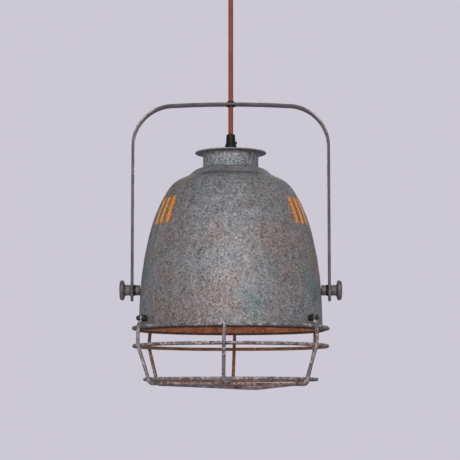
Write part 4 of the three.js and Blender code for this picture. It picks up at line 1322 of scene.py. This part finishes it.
make_block()
turned("canopy_grip", [
    (7.2, 550), (7.9, 550.3), (8.1, 551.2), (8.1, 567.2), (8.6, 568.0), (9.6, 568.4), (9.6, 571.7), (4.9, 571.7)]
    + [(4.9 - 0.3 * (k % 2), 572.6 + 0.7 * k) for k in range(16)]
    + [(4.9, 584), (3.7, 584), (3.7, 558.5), (4.6, 554.5), (6.4, 551.2)], [MAT["plastic"]], seg=72, r=0.3)
turned("canopy_grip_screw", [(0, 3.9), (1.8, 3.9), (1.8, 8.4), (1.6, 8.6), (0.9, 8.6), (0.8, 7.6), (0, 7.5)], [MAT["steel"]], seg=36, r=0.12, closed=False, az=0, z=563)
place(to_object(hexagon(14, 5.2, 573.5, 577), "canopy_grip_nut_fine", [MAT["steel"]]), "canopy_grip_nut")
for nm, x, m in (("live", -8, "brown"), ("earth", 0, "green"), ("neutral", 8, "blue")):
    k = x / 8
    y0 = 1.2 if nm == "earth" else -0.9
    y1 = 1.0 if nm == "earth" else -0.8
    pts = spline([(k * 2.1, y0, 590.4), (k * 3.4, y1, 593.5), (k * 7, 0, 597.6), (x, 0, CEIL - 18.8)], 0.5)
    bm = bmesh.new()
    sweep(bm, pts, lambda i, s: circle(0.85, 16), first=Vector((0, 1, 0)))
    place(to_object(bm, f"lead_{nm}_fine", [MAT[m]]), f"lead_{nm}")


# ======================================================================== cord
def cord_mesh(name, pts, r=CORD_R, sides=32, ease=(0.5, 0.5)):
    total = sum((pts[i] - pts[i - 1]).length for i in range(1, len(pts)))
    bm = bmesh.new()

    def section(i, s):
        q = 1.0
        if s < ease[0]:
            q = 0.86 + 0.14 * math.sin(math.pi / 2 * s / ease[0])
        if total - s < ease[1]:
            q = 0.86 + 0.14 * math.sin(math.pi / 2 * (total - s) / ease[1])
        out = []
        for k in range(sides):
            t = 2 * math.pi * k / sides
            # the braid's yarns stand up a little in two crossing sets
            u = k / sides * 12 * math.pi
            v = s / 1.75 * math.pi
            h = 0.05 * math.sin(u + v) * math.sin(u - v)
            out.append(((r + h) * q * math.cos(t), (r + h) * q * math.sin(t)))
        return out

    sweep(bm, pts, section, first=Vector((1, 0, 0)), uv="yarn")
    return to_object(bm, name, [MAT["cord"]], uv="yarn")


def line(z0, z1, step=0.45):
    n = max(2, round(abs(z1 - z0) / step))
    return [Vector((0, 0, z0 + (z1 - z0) * k / n)) for k in range(n + 1)]


def metres(pts):
    return [(p[0] / 1000, p[1] / 1000, (p[2] - CEIL) / 1000) for p in pts]


tail = cord_mesh("cord_tail_fine", line(SWING_Z + 1.3, 590.1))
place(tail, "cord_tail")
bend = cord_mesh("cord_bend_fine", line(SWING_Z - 2.6, SWING_Z + 2.6, 0.3), r=3.12, ease=(1.6, 1.6))
place(bend, "cord_bend")
up_pts = line(385.9, SWING_Z - 1.3)
upper = cord_mesh("cord_upper_fine", up_pts)
place(upper, "cord_upper")
low_pts = line(312.6, 385.6)
lower = cord_mesh("cord_lower_fine", low_pts)
place(lower, "cord_lower", ride=False)
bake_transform(lower)
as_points(metres(up_pts[::-8]))
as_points(metres(low_pts[::-8]))


# ======================================================================= floor
def make_floor():
    bm = bmesh.new()
    n = 96
    c = bm.verts.new((0, 0, 0))
    ring = [bm.verts.new((9 * math.cos(2 * math.pi * k / n), 9 * math.sin(2 * math.pi * k / n), 0)) for k in range(n)]
    for k in range(n):
        bm.faces.new((c, ring[k], ring[(k + 1) % n]))
    me = bpy.data.meshes.new("floor")
    bm.to_mesh(me)
    bm.free()
    ob = bpy.data.objects.new("floor", me)
    bpy.context.scene.collection.objects.link(ob)
    ob.location = (0, 0, -3.0)
    m = Nodes("floor_pale", Specular_IOR_Level=0.1, Roughness=0.9)
    t = m.noise(0.8, 3, 0.5)
    tone = m.mix(m.span(t, 0.3, 0.7), (0.80, 0.78, 0.85), (0.84, 0.82, 0.88))
    m.put(m.bsdf.inputs["Emission Color"], tone)
    m.bsdf.inputs["Emission Strength"].default_value = 0.14
    me.materials.append(m.done(tone))


make_floor()
